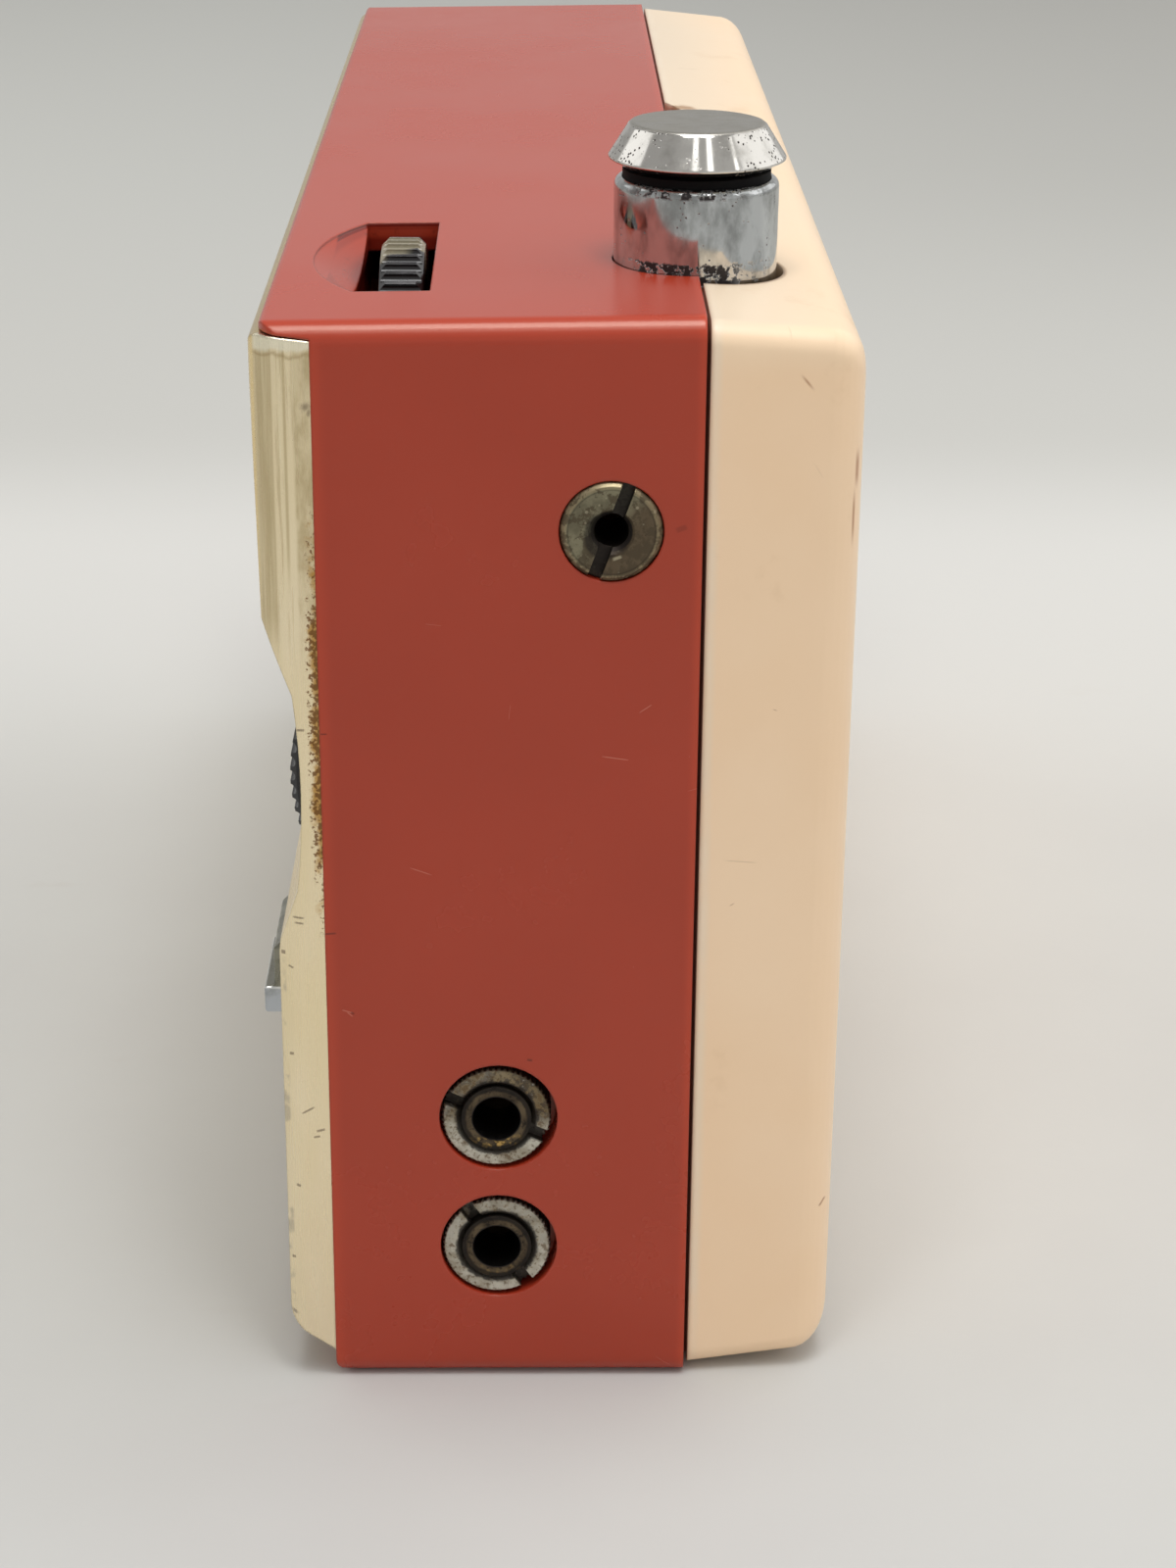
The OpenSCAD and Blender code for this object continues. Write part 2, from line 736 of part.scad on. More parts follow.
// Cream cover that closes the back
module back_cover() color("#efdcbc") difference() {
    inside = cover_rings(cover_wall);
    loft(concat([for (i = [len(inside) - 1:-1:0]) inside[i]], cover_rings(0)));
    translate([aerial_x, aerial_y, 0]) bar(plate_top - 2, body_h + over, collar_r + 1.5 * clear);
    intersection() {
        notch_r = (pow(notch_l / 2, 2) + pow(notch_d, 2)) / (2 * notch_d);
        translate([0, seam_y + notch_d - notch_r, 0])
            bar(body_h - cover_step - cover_wall - 0.6, body_h + over, notch_r);
        block([-notch_l, seam_y - over, 0], [notch_l, back_y, body_h + over]);
    }
}

// Side profile of the front panel, set in by a sheet thickness and reaching back to y_back
function panel_line(t, y_back) = let (
        r_waist = (pow(waist_half, 2) + pow(waist_rise, 2)) / (2 * waist_rise),
        sweep = asin(waist_half / r_waist),
        crown = 0.9,
        crown_y = front_y - upper_out + crown,
        foot_y = front_y - lower_out + foot_r,
        foot = arc(foot_y, foot_z, foot_r - t, 180, 270 - foot_slant),
        toe = foot[arc_steps])
    concat(
        [[y_back, brow_at(y_back) - panel_gap - t]],
        arc(crown_y + t, brow_at(crown_y) - panel_gap - crown - t, crown, 90, 180),
        [[front_y - upper_out + upper_lean + t, waist_z + waist_half + slope_up]],
        arc(front_y - waist_out + t - r_waist, waist_z, r_waist, sweep, -sweep),
        [[front_y - lower_out + 0.12 + t, lower_top + 0.4], [front_y - lower_out + t, lower_top - 0.6]],
        foot,
        [[y_back, toe[1] - (y_back - toe[0]) * tan(foot_slant)]]);

// Grille slots over the loudspeaker, longest across its middle
module grille() {
    for (i = [-grille_rows:grille_rows]) {
        half = sqrt(pow(speaker_hole_r + slot_h, 2) - pow(i * slot_pitch, 2));
        round_slot(speaker_x - half, speaker_x + half, speaker_z + i * slot_pitch, slot_h);
    }
}

// Slot that the band slider runs in
module band_slot() {
    round_slot(knob_x - slider_w / 2 - band_travel - slider_h / 2, knob_x + slider_w / 2 + slider_h / 2,
        slider_z, slider_h + 2 * clear);
}

// Gold formed panel over the front, held by four studs
module front_panel() color("#d8c391") {
    difference() {
        intersection() {
            along_x(-end_x, end_x) polygon(panel_line(0, front_y));
            plan_form(front_y - upper_out);
        }
        along_x(panel_end_t - end_x, end_x - panel_end_t) polygon(panel_line(panel_t, front_y + over));
        along_y(front_y - reach, front_y + over) {
            grille();
            translate([drum_x0 + over, tuning_z - window_half]) square([drum_w - 2 * over, 2 * window_half]);
            translate([tuning_x0 - wheel_gap, tuning_z - panel_slot_half])
                square([wheel_w + 2 * wheel_gap, 2 * panel_slot_half]);
            band_slot();
        }
    }
    for (p = stud_places) about_y(p[0], p[1])
        bar(front_y - (p[1] > tuning_z ? upper_out - 0.2 : lower_out) + panel_t / 2,
            baffle_y + nut_h + 0.4, stud_r);
}

// Nuts on the studs of the front panel
module panel_nuts() color("#b9b4a6") for (p = stud_places) about_y(p[0], p[1]) difference() {
    translate([0, 0, baffle_y]) cylinder(h = nut_h, r = nut_r, $fn = 6);
    bar(baffle_y - over, baffle_y + nut_h + over, stud_r);
}

// Clear window over the dial, with its flange behind the panel
module dial_window() color("#cfd6d8") {
    lens_t = waist_out - panel_t - 0.1;
    along_y(front_y - lens_t, front_y) translate([drum_x0 - over, tuning_z - window_half - over])
        square([drum_w + 2 * over, 2 * window_half + 2 * over]);
    along_y(front_y - waist_out + 0.1, front_y - lens_t)
        translate([drum_x0 + over + 0.1, tuning_z - window_half + 0.1])
        square([drum_w - 2 * over - 0.2, 2 * window_half - 0.2]);
}

// Ridged tuning thumbwheel
module tuning_wheel() color("#26211f") about_x(tuning_y, tuning_z) thumbwheel(tuning_r, tuning_x0, tuning_x1);

// Drum that carries the dial numbers
module dial_drum() color("#ece4d0") about_x(tuning_y, tuning_z) difference() {
    rim = 1.2;
    bar(drum_x0, drum_x1, drum_r);
    difference() {
        bar(drum_x0 - over, drum_x1 - rim, drum_r - rim);
        bar(drum_x0 - 2 * over, drum_x1, hub_r);
    }
    bar(drum_x0 - over, drum_x1 + over, shaft_r);
}

// Shaft of the tuning capacitor, with the tapped hole for the wheel screw
module tuning_shaft() color("#b79a5b") about_x(tuning_y, tuning_z) difference() {
    bar(bracket_x0 - shaft_in, tuning_x1, shaft_r);
    bar(tuning_x1 - tap_l, tuning_x1 + over, screw_r);
}

// Screw that holds the tuning wheel
module tuning_wheel_screw() color("#b9b4a6")
    about_x(tuning_y, tuning_z) translate([0, 0, tuning_x1]) screw(screw_r, tap_l, head_r);

// Boxed tuning capacitor with its trimmers and tags
module tuning_capacitor() color("#d9d3c2") difference() {
    half = capacitor_side / 2;
    trim_r = 2.2;
    union() {
        block([capacitor_x0, tuning_y - half, tuning_z - half], [bracket_x0, tuning_y + half, tuning_z + half]);
        for (sy = [-1, 1]) for (sz = [-1, 1]) about_x(tuning_y + sy * half / 2, tuning_z + sz * half / 2)
            bar(capacitor_x0 - 0.8, capacitor_x0 + over, trim_r);
        for (s = [-1, 0, 1]) block([capacitor_x0 + 2, tuning_y + s * 4 - 0.8, tuning_z - half - 2.4],
            [capacitor_x0 + 2.4, tuning_y + s * 4 + 0.8, tuning_z - half + over]);
    }
    about_x(tuning_y, tuning_z) bar(bracket_x0 - shaft_in - clear, bracket_x0 + over, shaft_r + run_gap);
}

// Bracket that holds the tuning capacitor to the wall behind the front panel
module tuning_bracket() color("#a9a79f") difference() {
    outer = bracket_half + bracket_tab;
    union() {
        block([bracket_x0, baffle_y, tuning_z - outer], [bracket_x1, bracket_back, tuning_z + outer]);
        for (z = tab_places) block([tab_x0, baffle_y, z - bracket_tab / 2],
            [bracket_x1, baffle_y + bracket_t, z + bracket_tab / 2]);
    }
    about_x(tuning_y, tuning_z) bar(bracket_x0 - over, bracket_x1 + over, shaft_r + clear);
    for (z = tab_places) about_y(tab_x, z) bar(baffle_y - over, baffle_y + bracket_t + over, screw_r);
    for (s = [-1, 1]) translate([0, bracket_back, tuning_z + s * outer]) rotate([s * 45, 0, 0])
        block([bracket_x0 - over, -6, -6], [bracket_x1 + over, 6, 6]);
}

// Small screws of the brackets, the aerial foot and the band switch
module bracket_screws() color("#b9b4a6") {
    for (z = tab_places) about_y(tab_x, z) translate([0, 0, baffle_y + bracket_t])
        screw(screw_r, bracket_t + 1.2, head_r);
    for (z = ear_places) about_y(switch_x, z) translate([0, 0, baffle_y + ear_t])
        screw(screw_r, ear_t + 1.2, head_r - 0.3);
    for (s = [-1, 1]) translate([aerial_x + s * pillar_reach, pillar_y, plate_top - plate_t]) mirror([0, 0, 1])
        screw(screw_r, plate_t + 2.6, pillar_r - 0.3);
    translate([aerial_x, seam_y - foot_screw, floor_z + foot_flange]) screw(screw_r, foot_flange + 2.2, head_r);
}

// Ridged volume thumbwheel
module volume_wheel() color("#2b2523") about_y(volume_x, volume_z) thumbwheel(volume_r, volume_y0, volume_y1);

// Shaft of the volume control
module volume_shaft() color("#b79a5b") about_y(volume_x, volume_z) difference() {
    bar(volume_y0, control_y0 + shaft_in, shaft_r);
    bar(volume_y0 - over, volume_y0 + tap_l, screw_r);
}

// Screw that holds the volume wheel
module volume_wheel_screw() color("#b9b4a6")
    about_y(volume_x, volume_z) translate([0, 0, volume_y0]) mirror([0, 0, 1])
        screw(screw_r, tap_l, head_r - 0.3);

// Round volume control standing on the board
module volume_control() color("#8f8a80") about_y(volume_x, volume_z) difference() {
    union() {
        bar(control_y0, board_y, control_r);
        bar(control_y0 - 1.4, control_y0 + over, shaft_r + 1.4);
    }
    bar(control_y0 - 2 * over, control_y0 + shaft_in + clear, shaft_r + run_gap);
    for (a = [0:120:240]) rotate(a) translate([control_r, 0, control_y0 + 2]) cylinder(h = control_d, r = 1);
}

// Wedge knob of the band switch
module band_knob() color("#c9cccd") difference() {
    along_x(knob_x0, knob_x1) polygon([
        [knob_back, knob_foot], [knob_back, lower_top - knob_gap],
        [knob_back + knob_lip_t, lower_top + knob_lip],
        [knob_back + knob_lip_t - knob_lip_bevel, lower_top + knob_lip],
        [knob_back - knob_lip_t, lower_top], [knob_back - knob_lip_t, knob_step + 2 * knob_rise],
        [knob_back - knob_lip_t - knob_rise, knob_step], [knob_front, knob_foot + knob_grip],
        [knob_front, knob_foot + knob_edge], [knob_front + knob_edge / 4, knob_foot + knob_edge / 4],
        [knob_front + knob_edge, knob_foot]]);
    block([knob_x - slider_w / 2, knob_back - knob_socket, slider_z - slider_h / 2],
        [knob_x + slider_w / 2, knob_back + over, slider_z + slider_h / 2]);
}

// Slider of the band switch, with its tip in the knob
module band_slider() color("#2c2a29")
    block([knob_x - slider_w / 2, knob_back - knob_socket, slider_z - slider_h / 2],
    [knob_x + slider_w / 2, slider_y, slider_z + slider_h / 2]);

// Body of the band switch
module band_switch() color("#6d5a45") difference() {
    union() {
        block([switch_x0, baffle_y, slider_z - switch_half],
            [switch_x1, baffle_y + switch_d, slider_z + switch_half]);
        for (z = ear_places) block([switch_x - ear_l / 2, baffle_y, z - ear_l / 2 - over / 4],
            [switch_x + ear_l / 2, baffle_y + ear_t, z + ear_l / 2 + over / 4]);
        for (i = [0:2]) for (s = [-1, 1])
            block([switch_x0 + 1.5 + i * 3, baffle_y + switch_d - over, slider_z + s * 2 - 0.6],
            [switch_x0 + 1.9 + i * 3, baffle_y + switch_d + 2.4, slider_z + s * 2 + 0.6]);
    }
    block([knob_x - slider_w / 2 - band_travel - clear, baffle_y - over, slider_z - slider_h / 2 - run_gap],
        [knob_x + slider_w / 2 + clear, slider_y + clear, slider_z + slider_h / 2 + run_gap]);
    for (z = ear_places) about_y(switch_x, z) bar(baffle_y - over, baffle_y + ear_t + over, screw_r);
}

// Radius of aerial section n, counted from the fixed tube
function section_r(n) = aerial_r - n * aerial_step;

// One aerial tube
module aerial_tube(n, z0, z1) color("#c8cbcc") translate([aerial_x, aerial_y, 0]) difference() {
    bar(z0, z1, section_r(n));
    bar(z0 - over, z1 + over, section_r(n) - aerial_wall);
}

// Collar that the aerial slides through, standing on its bracket
module aerial_collar() color("#c4c7c8") translate([aerial_x, aerial_y, 0]) difference() {
    rotate_extrude() polygon(concat(
        [[0, plate_top], [collar_r, plate_top]],
        arc(collar_r - collar_edge, collar_top - collar_edge, collar_edge, 0, 90),
        [[0, collar_top]]));
    bar(plate_top - over, collar_top + over, aerial_r);
    bar(collar_top - ring_seat, collar_top + over, collar_r - collar_edge);
}

// Black ring in the mouth of the collar
module aerial_ring() color("#1d1b1a") translate([aerial_x, aerial_y, 0]) difference() {
    bar(collar_top - ring_seat, collar_top + ring_h, collar_r - collar_edge);
    bar(collar_top - ring_seat - over, collar_top + ring_h + over, aerial_r - aerial_wall);
}

// Plate under the top of the cabinet that carries the collar and the fixed tube
module aerial_bracket() color("#a9a79f") difference() {
    block([aerial_x - plate_half, plate_front, plate_top - plate_t],
        [aerial_x + plate_half, plate_back, plate_top]);
    translate([aerial_x, aerial_y, 0]) bar(plate_top - 2 * plate_t, plate_top + over, aerial_r);
    for (s = [-1, 1]) translate([aerial_x + s * pillar_reach, pillar_y, 0])
        bar(plate_top - 2 * plate_t, plate_top + over, screw_r);
}

// Moulded foot that holds the lower end of the fixed tube
module aerial_foot() color("#54483d") difference() {
    union() {
        block([aerial_x - foot_half, seam_y - foot_reach, floor_z],
            [aerial_x + foot_half, seam_y + tongue_l, floor_z + foot_flange]);
        translate([aerial_x, aerial_y, 0])
            bar(floor_z + foot_flange / 2, base_foot + foot_seat, aerial_r + 1.4);
    }
    translate([aerial_x, aerial_y, 0]) bar(base_foot, base_foot + foot_seat + over, aerial_r);
    translate([aerial_x, seam_y - foot_screw, 0]) bar(floor_z - over, floor_z + foot_flange + over, screw_r);
}

module aerial_base_tube() aerial_tube(0, base_foot, collar_top - ring_seat);
module aerial_tube_2() aerial_tube(1, tube_foot, tube_top);
module aerial_tube_3() aerial_tube(2, tube_foot, tube_top);
module aerial_tube_4() aerial_tube(3, tube_foot, tube_top);
module aerial_tube_5() aerial_tube(4, tube_foot, tube_top);

// Solid innermost rod, with its spigot in the cap
module aerial_rod() color("#c8cbcc")
    translate([aerial_x, aerial_y, 0]) bar(tube_foot, cap_z + cap_seat, section_r(5));

// Mushroom cap on the innermost rod
module aerial_cap() color("#c4c7c8") translate([aerial_x, aerial_y, 0]) difference() {
    rotate_extrude() polygon([
        [0, cap_z], [cap_r - cap_under_w, cap_z], [cap_r, cap_z + cap_under_h],
        [cap_r, cap_z + cap_under_h + cap_rim_h], [cap_top_r, cap_z + cap_h - cap_round],
        [cap_top_r - cap_round, cap_z + cap_h - cap_round / 4], [cap_top_r - 2 * cap_round, cap_z + cap_h],
        [0, cap_z + cap_h]]);
    bar(cap_z - over, cap_z + cap_seat, section_r(5));
}

// Slotted bush of the aerial socket
module aerial_socket() color("#b3a582") about_x(socket_y, socket_z) difference() {
    union() {
        bevelled(socket_r, end_x - socket_head_t, end_x + socket_proud, 0, socket_bevel);
        bar(inner_x - socket_tail, end_x, socket_shank_r);
    }
    bar(inner_x - socket_tail - over, end_x + over, socket_bore_r);
    translate([0, 0, end_x + socket_proud - socket_sink])
        cylinder(h = 2 * socket_sink, r1 = socket_bore_r, r2 = socket_bore_r + 2 * socket_sink);
    rotate(-socket_tilt) translate([-reach, -socket_slot / 2, end_x + socket_proud - socket_slot_d])
        cube([2 * reach, socket_slot, over]);
}

// Nut behind the aerial socket
module aerial_socket_nut() color("#b9b4a6") about_x(socket_y, socket_z) difference() {
    translate([0, 0, inner_x - 2]) cylinder(h = 2, r = socket_shank_r + 1, $fn = 6);
    bar(inner_x - 2 - over, inner_x + over, socket_shank_r);
}

// Jack barrel with the flange that bears on the inside of the wall
module jack(z) color("#b89a62") about_x(jack_y, z) difference() {
    union() {
        bar(jack_x0, jack_boss_x, jack_flange_r);
        bar(jack_x0, end_x - jack_sunk, jack_r);
    }
    bar(jack_x0 - over, end_x + over, jack_bore_r);
}

// Round notched nut on a jack
module jack_nut(z, turn) color("#b5b0a3") about_x(jack_y, z) difference() {
    x0 = end_x - jack_recess_d;
    x1 = x0 + jack_nut_t;
    bevelled(jack_nut_r, x0, x1, 0, jack_nut_edge);
    ridge_cuts(jack_nut_r, x0, x1, jack_nut_ridges, jack_nut_ridge_d);
    bar(x0 - over, x1 + over, jack_r);
    translate([0, 0, x1 - jack_nut_sink])
        cylinder(h = 2 * jack_nut_sink, r1 = jack_r, r2 = jack_r + 2 * jack_nut_sink);
    rotate(turn) translate([-reach, -jack_nut_slot / 2, x1 - jack_nut_slot_d])
        cube([2 * reach, jack_nut_slot, over]);
}

module upper_jack() jack(jack_places[1]);
module lower_jack() jack(jack_places[0]);
module upper_jack_nut() jack_nut(jack_places[1], 66);
module lower_jack_nut() jack_nut(jack_places[0], 35);

// Insulating blocks behind the jacks
module jack_blocks() color("#4a3b30") for (z = jack_places) difference() {
    half = jack_block_side / 2;
    block([jack_x0 - jack_block_l, jack_y - half, z - half], [jack_x0, jack_y + half, z + half]);
    about_x(jack_y, z) bar(jack_x0 - jack_block_l - over, jack_x0 + over, jack_bore_r + 0.2);
}

// Spring leaves and tags at the inner end of the jacks
module jack_contacts() color("#c2a566") for (z = jack_places) {
    leaf = 0.4;
    x = jack_x0 - jack_block_l;
    block([x - leaf, jack_y - 3, z - 3.6], [x, jack_y + 3, z + 2.6]);
    block([x - 4, jack_y - 1, z - 3.6], [x - leaf, jack_y + 1, z - 3.6 + leaf]);
}

// Felt ring between the loudspeaker and the wall
module speaker_gasket() color("#3a3836") about_y(speaker_x, speaker_z) difference() {
    bar(baffle_y, cone_y, speaker_r);
    bar(baffle_y - over, cone_y + over, speaker_hole_r + 0.2);
}

// Pressed steel frame with four windows
module speaker_frame() color("#9c9a94") about_y(speaker_x, speaker_z) difference() {
    rotate_extrude() polygon([
        [speaker_r, flange_y], [speaker_r, flange_y + flange_t], [cone_r + 1.8, flange_y + flange_t],
        [magnet_r, frame_back], [magnet_r, frame_back + frame_plate], [coil_r + 0.5, frame_back + frame_plate],
        [coil_r + 0.5, frame_back], [magnet_r - 1.4, frame_back], [cone_r + 0.4, flange_y]]);
    for (a = [0:90:270]) rotate(a) translate([magnet_r + 1, -6, flange_y + flange_t + 1])
        cube([cone_r - magnet_r, 12, 6]);
}

// Paper cone with its rim under the gasket
module speaker_cone() color("#2f2b28") about_y(speaker_x, speaker_z) rotate_extrude() polygon([
    [speaker_r - 0.5, cone_y], [speaker_r - 0.5, flange_y], [cone_r - 0.2, flange_y],
    [coil_r + 0.4, frame_back - 1.2], [coil_r, frame_back - 1.2],
    [coil_r, frame_back - 1.7], [cone_r - 0.6, cone_y]]);

// Dome over the voice coil
module speaker_dust_cap() color("#262321") about_y(speaker_x, speaker_z) rotate_extrude() polygon(concat(
    [[0, frame_back - 2.4], [coil_r + 0.8, frame_back - 2.4]],
    [for (a = [10:10:90]) [(coil_r + 0.8) * cos(a), frame_back - 2.4 - 2.2 * sin(a)]]));

// Voice coil in the gap of the magnet
module voice_coil() color("#a8703f") about_y(speaker_x, speaker_z) difference() {
    bar(frame_back - 1.7, frame_back + 3, coil_r);
    bar(frame_back - 2 * over, frame_back + 4, coil_r - 0.4);
}

// Ring magnet
module speaker_magnet() color("#4c4a48") about_y(speaker_x, speaker_z) difference() {
    bar(frame_back + frame_plate, frame_back + frame_plate + magnet_h, magnet_r);
    bar(frame_back, frame_back + frame_plate + magnet_h + over, coil_r + 2.5);
}

// Back plate and pole of the magnet
module speaker_pole() color("#8e8c87") about_y(speaker_x, speaker_z) {
    y0 = frame_back + frame_plate + magnet_h;
    bar(y0, y0 + pole_plate, magnet_r);
    bar(frame_back, y0 + over, coil_r - 0.8);
}

// Wide-headed screws that clamp the rim of the loudspeaker
module speaker_screws() color("#b9b4a6") for (p = speaker_screw_places) about_y(p[0], p[1])
    translate([0, 0, flange_y + flange_t]) screw(screw_r, 3.4, big_head_r);

// Circuit board with an arm behind the volume control
module circuit_board() color("#8a6a3f") difference() {
    along_y(board_y, board_back) {
        translate([board_x0, board_z]) square([board_w, board_top - board_z]);
        translate([board_x1 - over, board_arm_z])
            square([board_arm_x1 - board_x1 + over, board_top - board_arm_z]);
    }
    for (p = board_places) about_y(p[0], p[1]) bar(board_y - over, board_back + over, screw_r);
}

// Screws that hold the board to its pillars
module board_screws() color("#b9b4a6") for (p = board_places) about_y(p[0], p[1])
    translate([0, 0, board_back]) screw(screw_r, board_t + 6, head_r);

// Ferrite rod aerial
module ferrite_rod() color("#3b3a3a") about_x(rod_y, rod_z) bar(rod_x1 - rod_l, rod_x1, rod_r);

// Windings on the ferrite rod
module aerial_coils() color("#b5793f") about_x(rod_y, rod_z) for (x = coil_spans) difference() {
    bar(x[0], x[1], rod_r + coil_t);
    bar(x[0] - over, x[1] + over, rod_r);
}

// Clips that hold the ferrite rod above the board
module rod_holders() color("#ddd6c6") for (x = holder_places) difference() {
    half = rod_r + 1.2;
    block([x, board_back, rod_z - half], [x + holder_w, rod_y + half, rod_z + half]);
    about_x(rod_y, rod_z) bar(x - over, x + holder_w + over, rod_r);
    block([x - over, rod_y + 3, rod_z - 2.6], [x + holder_w + over, rod_y + 2 * half, rod_z + 2.6]);
}

// Stands a form made about Z on the board, at a column and row of its grid
module on_board(column, row) {
    about_y(board_x0 + column * grid_x, board_z + row * grid_z) translate([0, 0, board_back]) children();
}

// Screened coil cans with their slotted cores
module if_transformers() color("#bfc1c0") for (column = [2.4, 6, 9.6, 13.2])
    on_board(column, 16.1) difference() {
    side = 2.9 * grid;
    tall = 11;
    core_r = 0.76 * grid;
    translate([-side / 2, -side / 2, 0]) cube([side, side, tall]);
    bar(tall - 2, tall + over, core_r);
}

// Driver and output transformers, with their laminated cores and bobbins
module audio_transformers() color("#77706a") for (column = [4.8, 10.8]) on_board(column, 5.2) {
    core = [2.6 * grid_x, 2.2 * grid_z];
    bobbin = [1.68 * grid_x, 1.76 * grid_z];
    block([-core[0], -core[1], 2.5], [core[0], core[1], 8]);
    block([-bobbin[0], -bobbin[1], 0], [bobbin[0], bobbin[1], 10.5]);
}

// Transistors in round cans
module transistors() color("#9a9c9b") for (column = [2, 4.8, 7.6, 10.4, 13.2]) on_board(column, 12.8) {
    can_r = 1.04 * grid;
    rim_r = 1.16 * grid;
    bar(0, 1, rim_r);
    bar(0, 8, can_r);
}

// Electrolytic capacitors
module electrolytics() color("#56606b") for (column = [2, 5.2, 8.4, 11.6]) on_board(column, 9.44) difference() {
    can_r = 1.2 * grid;
    bar(0, 10, can_r);
    translate([0, 0, 8]) rotate_extrude() translate([can_r + 0.2, 0]) circle(r = 0.5, $fn = 16);
}

// Resistors that lie on the board
module resistors() color("#a5794c") for (column = [3.6:1.36:10.4]) {
    body_r = 0.44 * grid;
    translate([board_x0 + column * grid_x, board_back + body_r, board_z])
        bar(0.4 * grid_z, 2.56 * grid_z, body_r);
}

// Tray for the four cells
module battery_tray() color("#3d3a37") difference() {
    block([tray_x0, tray_y0, floor_z], [tray_x0 + tray_l, tray_y0 + tray_w, floor_z + tray_h]);
    block([tray_x0 + tray_wall, tray_y0 + tray_wall, floor_z + tray_wall],
        [tray_x0 + tray_l - tray_wall, tray_y0 + tray_w - tray_wall, floor_z + tray_h + over]);
}

// Cells in two rows of two, laid in opposite directions
module battery_cells() color("#8d8f93") for (row = [0, 1]) for (i = [0, 1]) {
    x0 = tray_x0 + tray_wall + contact_bay + cell_gap / 2 + i * (cell_l + button_l + cell_gap);
    about_x(cell_rows[row], cell_z) {
        body = row == 0 ? x0 : x0 + button_l;
        button = row == 0 ? x0 + cell_l : x0;
        bar(body, body + cell_l, cell_r);
        bar(button - (row == 0 ? over : 0), button + button_l + (row == 0 ? 0 : over), 2.7);
    }
}

// Contact leaves at both ends of each row
module battery_contacts() color("#c0b79a") for (y = cell_rows) for (right = [0, 1]) {
    leaf = 0.4;
    x0 = right == 1 ? tray_x0 + tray_l - tray_wall - leaf : tray_x0 + tray_wall;
    tip = right == 1 ? tray_x0 + tray_l - tray_wall - contact_bay : x0;
    block([x0, y - 5, floor_z + tray_wall], [x0 + leaf, y + 5, cell_z + 4]);
    about_x(y, cell_z) bar(tip, tip + contact_bay, 1.6);
}

cabinet();
back_cover();
front_panel();
panel_nuts();
dial_window();
tuning_wheel();
dial_drum();
tuning_shaft();
tuning_wheel_screw();
tuning_capacitor();
tuning_bracket();
bracket_screws();
volume_wheel();
volume_shaft();
volume_wheel_screw();
volume_control();
band_knob();
band_slider();
band_switch();
aerial_collar();
aerial_ring();
aerial_bracket();
aerial_foot();
aerial_base_tube();
aerial_tube_2();
aerial_tube_3();
aerial_tube_4();
aerial_tube_5();
aerial_rod();
aerial_cap();
aerial_socket();
aerial_socket_nut();
upper_jack();
upper_jack_nut();
lower_jack();
lower_jack_nut();
jack_blocks();
jack_contacts();
speaker_gasket();
speaker_frame();
speaker_cone();
speaker_dust_cap();
voice_coil();
speaker_magnet();
speaker_pole();
speaker_screws();
circuit_board();
board_screws();
ferrite_rod();
aerial_coils();
rod_holders();
if_transformers();
audio_transformers();
transistors();
electrolytics();
resistors();
battery_tray();
battery_cells();
battery_contacts();
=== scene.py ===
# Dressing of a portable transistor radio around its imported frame
import math

import bmesh
import bpy
from mathutils import Matrix, Vector


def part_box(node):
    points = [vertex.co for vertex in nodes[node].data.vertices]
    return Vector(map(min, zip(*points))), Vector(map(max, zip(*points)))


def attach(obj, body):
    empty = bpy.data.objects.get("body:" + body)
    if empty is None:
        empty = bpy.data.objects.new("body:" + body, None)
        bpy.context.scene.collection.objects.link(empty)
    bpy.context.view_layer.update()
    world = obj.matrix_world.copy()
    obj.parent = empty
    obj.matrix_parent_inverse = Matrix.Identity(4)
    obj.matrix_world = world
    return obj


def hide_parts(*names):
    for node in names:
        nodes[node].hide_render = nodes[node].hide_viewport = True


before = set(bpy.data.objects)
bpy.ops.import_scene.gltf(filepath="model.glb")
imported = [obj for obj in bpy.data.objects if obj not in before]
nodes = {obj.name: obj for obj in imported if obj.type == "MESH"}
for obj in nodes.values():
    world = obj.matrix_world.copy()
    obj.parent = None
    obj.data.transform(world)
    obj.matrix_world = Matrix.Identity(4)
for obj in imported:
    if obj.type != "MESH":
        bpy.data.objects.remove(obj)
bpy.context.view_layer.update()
scene = bpy.context.scene
scene.view_settings.view_transform = "Standard"

MM = 0.001


# Camera at the viewing angle of the photograph
CAMERA_AT = Vector((275.45, 1.94, 134.0)) * MM
CAMERA_YAW = math.radians(1.054)
CAMERA_PITCH = math.radians(22.529)
CAMERA_ROLL = math.radians(0.515)
CAMERA_LENS = 70.1


def make_camera():
    data = bpy.data.cameras.new("photo_camera")
    data.lens = CAMERA_LENS
    data.sensor_width = 36
    data.clip_start = 0.01
    data.clip_end = 20
    camera = bpy.data.objects.new("photo_camera", data)
    scene.collection.objects.link(camera)
    forward = Vector((-math.cos(CAMERA_PITCH) * math.cos(CAMERA_YAW),
                      math.cos(CAMERA_PITCH) * math.sin(CAMERA_YAW),
                      -math.sin(CAMERA_PITCH)))
    level = forward.cross(Vector((0, 0, 1))).normalized()
    upright = level.cross(forward)
    right = level * math.cos(CAMERA_ROLL) + upright * math.sin(CAMERA_ROLL)
    up = upright * math.cos(CAMERA_ROLL) - level * math.sin(CAMERA_ROLL)
    turn = Matrix((right, up, -forward)).transposed().to_4x4()
    camera.matrix_world = Matrix.Translation(CAMERA_AT) @ turn
    scene.camera = camera


make_camera()

